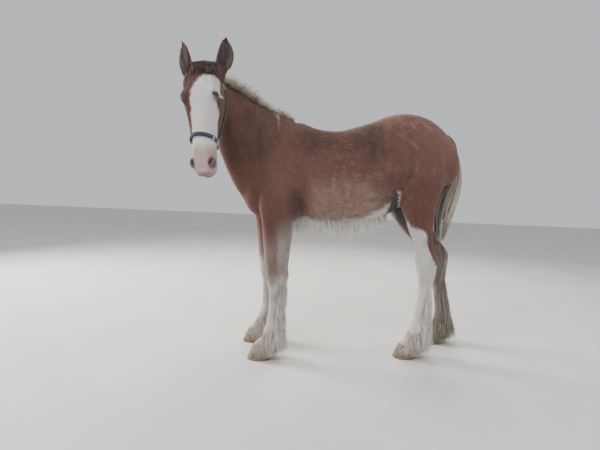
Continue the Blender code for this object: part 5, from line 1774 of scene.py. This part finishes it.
def lashes():
    """Upper lashes that stand out and down over each eye."""
    for name, side in SIDES:
        count = 150
        turn = DRAW.uniform(0.15, np.pi - 0.15, count)
        wide = LASH_REACH * np.cos(turn)
        high = LASH_OPEN * np.sin(turn)
        deep = np.sqrt((EYE_RADIUS + LASH_LIFT) ** 2 - wide ** 2 - high ** 2)
        axes = eye_axes(side)
        upper = np.sign(axes[2, 1])
        roots = eye_centre(side) + np.stack([wide, upper * high, deep], axis=-1) @ axes.T
        out = unit(roots - eye_centre(side))
        ends = out + np.array([0, 0, -0.55]) + 0.15 * DRAW.standard_normal((count, 3))
        strands("lashes_" + name, roots, out, ends,
                np.tile([0, 0, 1.0], (count, 1)), DRAW.uniform(0.008, 0.016, count),
                np.full(count, 0.0005), varied(DARK_HAIR, count),
                varied(STAINED_WHITE * 0.8, count), DRAW.uniform(0.1, 0.9, (count, 2)),
                steps=4, wave=0.05)


eyes()
lids()
lashes()


# Hooves

def horn_material():
    """Buff horn: growth rings down the wall, darker streaks and soil near the ground."""
    material, tree, principled = surface("horn", {"Specular IOR Level": 0.4})
    place = object_place(tree)
    height = parts_of(tree, place)[2]
    stretch = node(tree, "ShaderNodeMapping", (), {"Vector": place, "Scale": (1.0, 1.0, 0.12)})
    streak = speckle(tree, stretch, 190.0, 4.0)
    stain = speckle(tree, place, 38.0, 5.0)
    wall = graded(tree, streak, (0.32, srgb(98, 82, 72)), (0.68, srgb(168, 148, 132)))
    soil = graded(tree, stain + (0.045 - height) * 6.0,
                  (0.40, (0.0, 0.0, 0.0)), (0.75, (0.8, 0.8, 0.8)))
    shade = mixed(tree, soil, wall, (*srgb(92, 74, 60), 1))
    rings = (height * 900.0).maths("SINE")
    feed(tree, principled, Base_Color=shade, Roughness=0.42 + 0.25 * stain,
         Normal=bumped(tree, rings * 0.5 + streak, 0.0006, 0.8))
    return material


CORONET_FRONT, CORONET_REAR = 0.076, 0.045      # heights of the slanting top of the hoof
TOE_REACH, HEEL_REACH = 0.031, 0.006            # of the ground edge before the coronet's ends
HOOF_HALF_WIDTHS = (0.047, 0.058)               # at the coronet and at the ground


def hooves():
    """Each hoof: rings from the slanting coronet to the flat ground, with growth ridges."""
    material = horn_material()
    for leg in LEGS:
        front = float(leg_place(leg, 0.075)[0]) - 0.003
        rear = float(leg_place(leg, 0.055)[1]) + 0.002
        toe, heel = front - TOE_REACH, rear - HEEL_REACH
        share = np.concatenate([[0.0], np.linspace(0.0, 0.90, 18), [0.96, 0.985, 1.0]])
        swell = np.concatenate([[0.90], np.ones(18), [1.0, 0.994, 0.975]])
        middle = mix((front + rear) / 2, (toe + heel) / 2, share)
        reach = mix((rear - front) / 2, (heel - toe) / 2, share) * swell
        width = mix(*HOOF_HALF_WIDTHS, share) * swell
        reach = reach + 0.0006 * np.sin(share * 38)
        across, along = sections(width, reach, -reach, 0, 2.25, 48)
        x = middle[:, None] + along
        slope = (x - middle[:, None] + reach[:, None]) / (2 * reach[:, None])
        top = CORONET_FRONT + (CORONET_REAR - CORONET_FRONT) * slope
        z = top * (1 - share)[:, None]
        rings = np.stack([x, leg[3] + across, z], axis=-1)
        piece = closed_tube("hoof_wall_" + leg[0], rings)
        finished(piece, material, ("hoof_" + leg[0],))


hooves()


# Headcollar

NOSE_CENTRE = (0, -0.020, 0.337)
NOSE_RISE = (0, 0.95, -0.31)        # the noseband climbs from its rings to the bridge
CROWN_CENTRE = (0, -0.098, 0.060)
CHEEK_LINE = ((-0.095, 0.078), (-0.098, 0.140), (-0.096, 0.210), (-0.082, 0.270),
              (-0.052, 0.312))
STRAP_WIDTH, STRAP_THICKNESS = 0.020, 0.0036
STRAP_LIFT = 0.0045     # from the skin to the strap's inner face, over the flattened coat
REACH_FROM_INSIDE = 0.15    # where the rays towards the skin start


def webbing_material(name, base, stripe):
    """Woven webbing: ribs across and yarns along from the strap's own map, paler centre line."""
    material, tree, principled = surface(name, {"Specular IOR Level": 0.25, "Sheen Weight": 0.2})
    place = node(tree, "ShaderNodeUVMap", {"uv_map": "UVMap"})
    along, across = parts_of(tree, place)[:2]
    weave = (along * 2600.0).maths("SINE") * (across * 62.0).maths("SINE")
    worn = speckle(tree, object_place(tree), 90.0, 4.0)
    off_middle = (across - 0.5).maths("ABSOLUTE")
    line = graded(tree, off_middle, (0.07, (0.75, 0.75, 0.75)), (0.12, (0.0, 0.0, 0.0)))
    body = graded(tree, worn + weave * 0.08, (0.30, base * 0.7), (0.75, base * 1.7))
    shade = mixed(tree, line, body, (*stripe, 1))
    feed(tree, principled, Base_Color=shade, Roughness=0.62 + 0.2 * worn,
         Normal=bumped(tree, weave, 0.0007, 0.9))
    return material


def nickel_material():
    """Dulled nickel with fine scratches."""
    material, tree, principled = surface("nickel", {"Metallic": 1.0})
    scratch = speckle(tree, object_place(tree), 300.0, 5.0)
    shade = graded(tree, scratch, (0.35, srgb(150, 146, 138)), (0.65, srgb(214, 212, 206)))
    feed(tree, principled, Base_Color=shade, Roughness=0.20 + 0.25 * scratch)
    return material


head_tree = BVHTree.FromPolygons([tuple(p) for p in skin_points],
                                 [tuple(t) for t in skin_triangles.tolist()])


def meet(inside, direction):
    """Where the skin is met along a ray towards a point inside the head."""
    outward = unit(np.asarray(direction, float))
    start = Vector(inside + outward * REACH_FROM_INSIDE)
    return np.array(head_tree.ray_cast(start, Vector(-outward))[0])


def wrap(centre, first, second, start, end, steps):
    """Places and outs round a centre in the head, by the angle from the first direction."""
    inside = on_head(centre)
    places, outs = [], []
    for angle in np.radians(np.linspace(start, end, steps + 1)):
        outward = HEAD @ (np.array(first, float) * math.cos(angle)
                          + np.array(second, float) * math.sin(angle))
        places.append(meet(inside, outward) + outward * STRAP_LIFT)
        outs.append(outward)
    return np.array(places), np.array(outs)


def down_the_cheek(side):
    """Places and outs of one cheekpiece, from behind the ear to the ring on the noseband."""
    outward = HEAD @ np.array([side, 0, 0])
    places = []
    for out, down in refine(CHEEK_LINE, 10):
        places.append(meet(on_head((0, out, down)), outward) + outward * STRAP_LIFT)
    return np.array(places), np.tile(outward, (len(places), 1))


def strap(name, places, outs, material, replaced):
    """Flat webbing with rounded edges whose inner face runs through the places."""
    for _ in range(3):
        places[1:-1] = (places[:-2] + 2 * places[1:-1] + places[2:]) / 4
    along = unit(np.gradient(places, axis=0))
    outward = unit(outs - along * (outs * along).sum(axis=1, keepdims=True))
    across = np.cross(along, outward)
    profile = np.array([(-0.46, 0.0), (0.46, 0.0), (0.50, 0.35), (0.485, 0.85), (0.44, 1.0),
                        (0.0, 1.04), (-0.44, 1.0), (-0.485, 0.85), (-0.50, 0.35)])
    size = (STRAP_WIDTH, STRAP_THICKNESS)
    piece = closed_tube(name, swept(places, across, outward, profile * size))
    run = np.concatenate([[0], np.cumsum(np.linalg.norm(np.diff(places, axis=0), axis=1))])
    uv = np.stack([np.repeat(run, len(profile)), np.tile(profile[:, 0] + 0.5, len(run))], axis=1)
    spread(piece, np.vstack([uv, uv[:1], uv[-1:]]))
    return finished(piece, material, replaced)


def rounded_frame(name, centre, along, outward, size, wire, material, replaced):
    """A square ring of round wire: a rounded rectangle |a|^5 + |b|^5 = 1 as its path."""
    across = np.cross(along, outward)
    turn = round_angles(64)
    a = np.sign(np.cos(turn)) * np.abs(np.cos(turn)) ** 0.4 * (size[0] / 2 - wire)
    b = np.sign(np.sin(turn)) * np.abs(np.sin(turn)) ** 0.4 * (size[1] / 2 - wire)
    path = centre + along * a[:, None] + across * b[:, None]
    forward = unit(np.roll(path, -1, axis=0) - np.roll(path, 1, axis=0))
    side = np.cross(forward, outward)
    around = round_angles(14)
    profile = wire * np.column_stack([np.cos(around), np.sin(around)])
    rings = swept(path, side, np.broadcast_to(outward, path.shape), profile)
    return finished(closed_ring(name, rings), material, replaced)


# Size along and across the strap, then radius of the wire
RING = (0.030, 0.034), 0.0022
BUCKLE = (0.022, 0.030), 0.0018
KEEPER = (0.010, 0.026), 0.0016
METAL_LIFT, KEEPER_LIFT = 0.0030, 0.0035        # of the wire's middle over the strap's inner face


def headcollar():
    """Noseband, chin strap, cheekpieces and crownpiece with the metal between them."""
    navy = webbing_material("navy webbing", srgb(30, 35, 54), srgb(72, 82, 108))
    teal = webbing_material("teal webbing", srgb(36, 92, 116), srgb(52, 116, 140))
    nickel = nickel_material()
    nose, outs = wrap(NOSE_CENTRE, NOSE_RISE, (1, 0, 0), -90, 90, 48)
    strap("nose_webbing", nose, outs, navy, ("noseband",))
    chin, outs = wrap(NOSE_CENTRE, NOSE_RISE, (1, 0, 0), 114, 246, 36)
    strap("chin_webbing", chin, outs, teal, ("chin_strap",))
    crown, crown_outs = wrap(CROWN_CENTRE, (0, 0, -1), (1, 0, 0), -90, 90, 36)
    strap("crown_webbing", crown, crown_outs, navy, ("crownpiece",))
    for name, side in SIDES:
        cheek, outs = down_the_cheek(side)
        strap("cheek_webbing_" + name, cheek, outs, navy, ("cheekpiece_" + name,))
        ring, ring_outs = wrap(NOSE_CENTRE, NOSE_RISE, (side, 0, 0), 94, 110, 2)
        along = unit(ring[2] - ring[0])
        out = unit(ring_outs[1] - along * (ring_outs[1] @ along))
        rounded_frame("noseband_ring_" + name, ring[1] + out * METAL_LIFT, along, out, *RING,
                      nickel, ("nose_ring_" + name,))
        upper, lower = cheek[0], crown[-1] if side > 0 else crown[0]
        along = unit(upper - lower)
        out = unit(outs[0] - along * (outs[0] @ along))
        middle = (upper + lower) / 2
        rounded_frame("crown_frame_" + name, middle + out * METAL_LIFT, along, out, *BUCKLE,
                      nickel, ("crown_buckle_" + name,))
    band, band_outs = wrap(NOSE_CENTRE, NOSE_RISE, (1, 0, 0), 52, 60, 2)
    along = unit(band[2] - band[0])
    rounded_frame("noseband_keeper", band[1] + band_outs[1] * KEEPER_LIFT, along, band_outs[1],
                  *KEEPER, nickel, ())


headcollar()


# Stage, light and camera

CAMERA_PLACE = np.array([-0.536, -2.518, 0.900])
CAMERA_YAW, CAMERA_PITCH, CAMERA_ROLL = (math.radians(a) for a in (6.0, 4.25, 2.73))
CAMERA_LENS = 27.0      # on a 36 mm wide frame


def camera():
    """The photograph's view: beside the near shoulder, a little below the back."""
    right = np.array([math.cos(CAMERA_YAW), -math.sin(CAMERA_YAW), 0])
    level = np.array([math.sin(CAMERA_YAW), math.cos(CAMERA_YAW), 0])
    forward = level * math.cos(CAMERA_PITCH) - np.array([0, 0, math.sin(CAMERA_PITCH)])
    up = level * math.sin(CAMERA_PITCH) + np.array([0, 0, math.cos(CAMERA_PITCH)])
    rolled_right = right * math.cos(CAMERA_ROLL) + up * math.sin(CAMERA_ROLL)
    rolled_up = up * math.cos(CAMERA_ROLL) - right * math.sin(CAMERA_ROLL)
    data = bpy.data.cameras.new("camera")
    data.lens, data.sensor_width, data.sensor_fit = CAMERA_LENS, 36.0, "HORIZONTAL"
    data.clip_start, data.clip_end = 0.05, 60
    holder = placed("camera", data)
    turn = Matrix(np.stack([rolled_right, rolled_up, -forward], axis=1).tolist()).to_4x4()
    holder.matrix_world = Matrix.Translation(CAMERA_PLACE + SHIFT) @ turn
    bpy.context.scene.camera = holder


def floor():
    """A plain pale floor that reaches past the view."""
    reach = 14.0
    corners = np.array([(-reach, -reach, 0), (reach, -reach, 0), (reach, reach, 0),
                        (-reach, reach, 0)]) - SHIFT
    corners[:, 2] = -SHIFT[2] - 0.0002
    piece = mesh_object("floor", corners, np.array([(0, 1, 2, 3)]), smooth=False)
    material, tree, principled = surface("pale floor", {"Roughness": 0.85, "Specular IOR Level": 0.2})
    cloud = speckle(tree, object_place(tree), 2.2, 5.0)
    shade = graded(tree, cloud, (0.3, (0.60, 0.585, 0.56)), (0.7, (0.66, 0.645, 0.62)))
    feed(tree, principled, Base_Color=shade)
    piece.data.materials.append(material)


def lamp(name, place, target, size, power, colour):
    """A soft square light that looks at a target."""
    data = bpy.data.lights.new(name, "AREA")
    data.size, data.energy, data.color = size, power, colour
    holder = placed(name, data)
    holder.location = place
    holder.rotation_euler = (Vector(target) - Vector(place)).to_track_quat("-Z", "Y").to_euler()
    return holder


def light():
    """Plain soft studio light: broad key by the camera, cooler fill, warm lights from behind."""
    world = bpy.data.worlds.new("studio")
    world.use_nodes = True
    backdrop = world.node_tree.nodes["Background"]
    backdrop.inputs["Color"].default_value = (0.86, 0.89, 0.94, 1)
    backdrop.inputs["Strength"].default_value = 0.75
    bpy.context.scene.world = world
    lamp("key", (-2.4, -3.0, 3.2), (0, 0, 0.9), 2.8, 130, (1.0, 0.98, 0.96))
    lamp("fill", (2.8, -2.6, 2.0), (0, 0, 0.8), 3.0, 50, (0.96, 0.98, 1.0))
    rim = lamp("rim", (-3.4, 2.0, 2.4), (0, 0, 0.9), 2.0, 300, (1.0, 0.96, 0.90))
    rim.visible_glossy = False
    lamp("back", (1.4, 3.4, 3.4), (0, 0, 1.0), 2.0, 150, (1.0, 0.93, 0.82))


camera()
floor()
light()
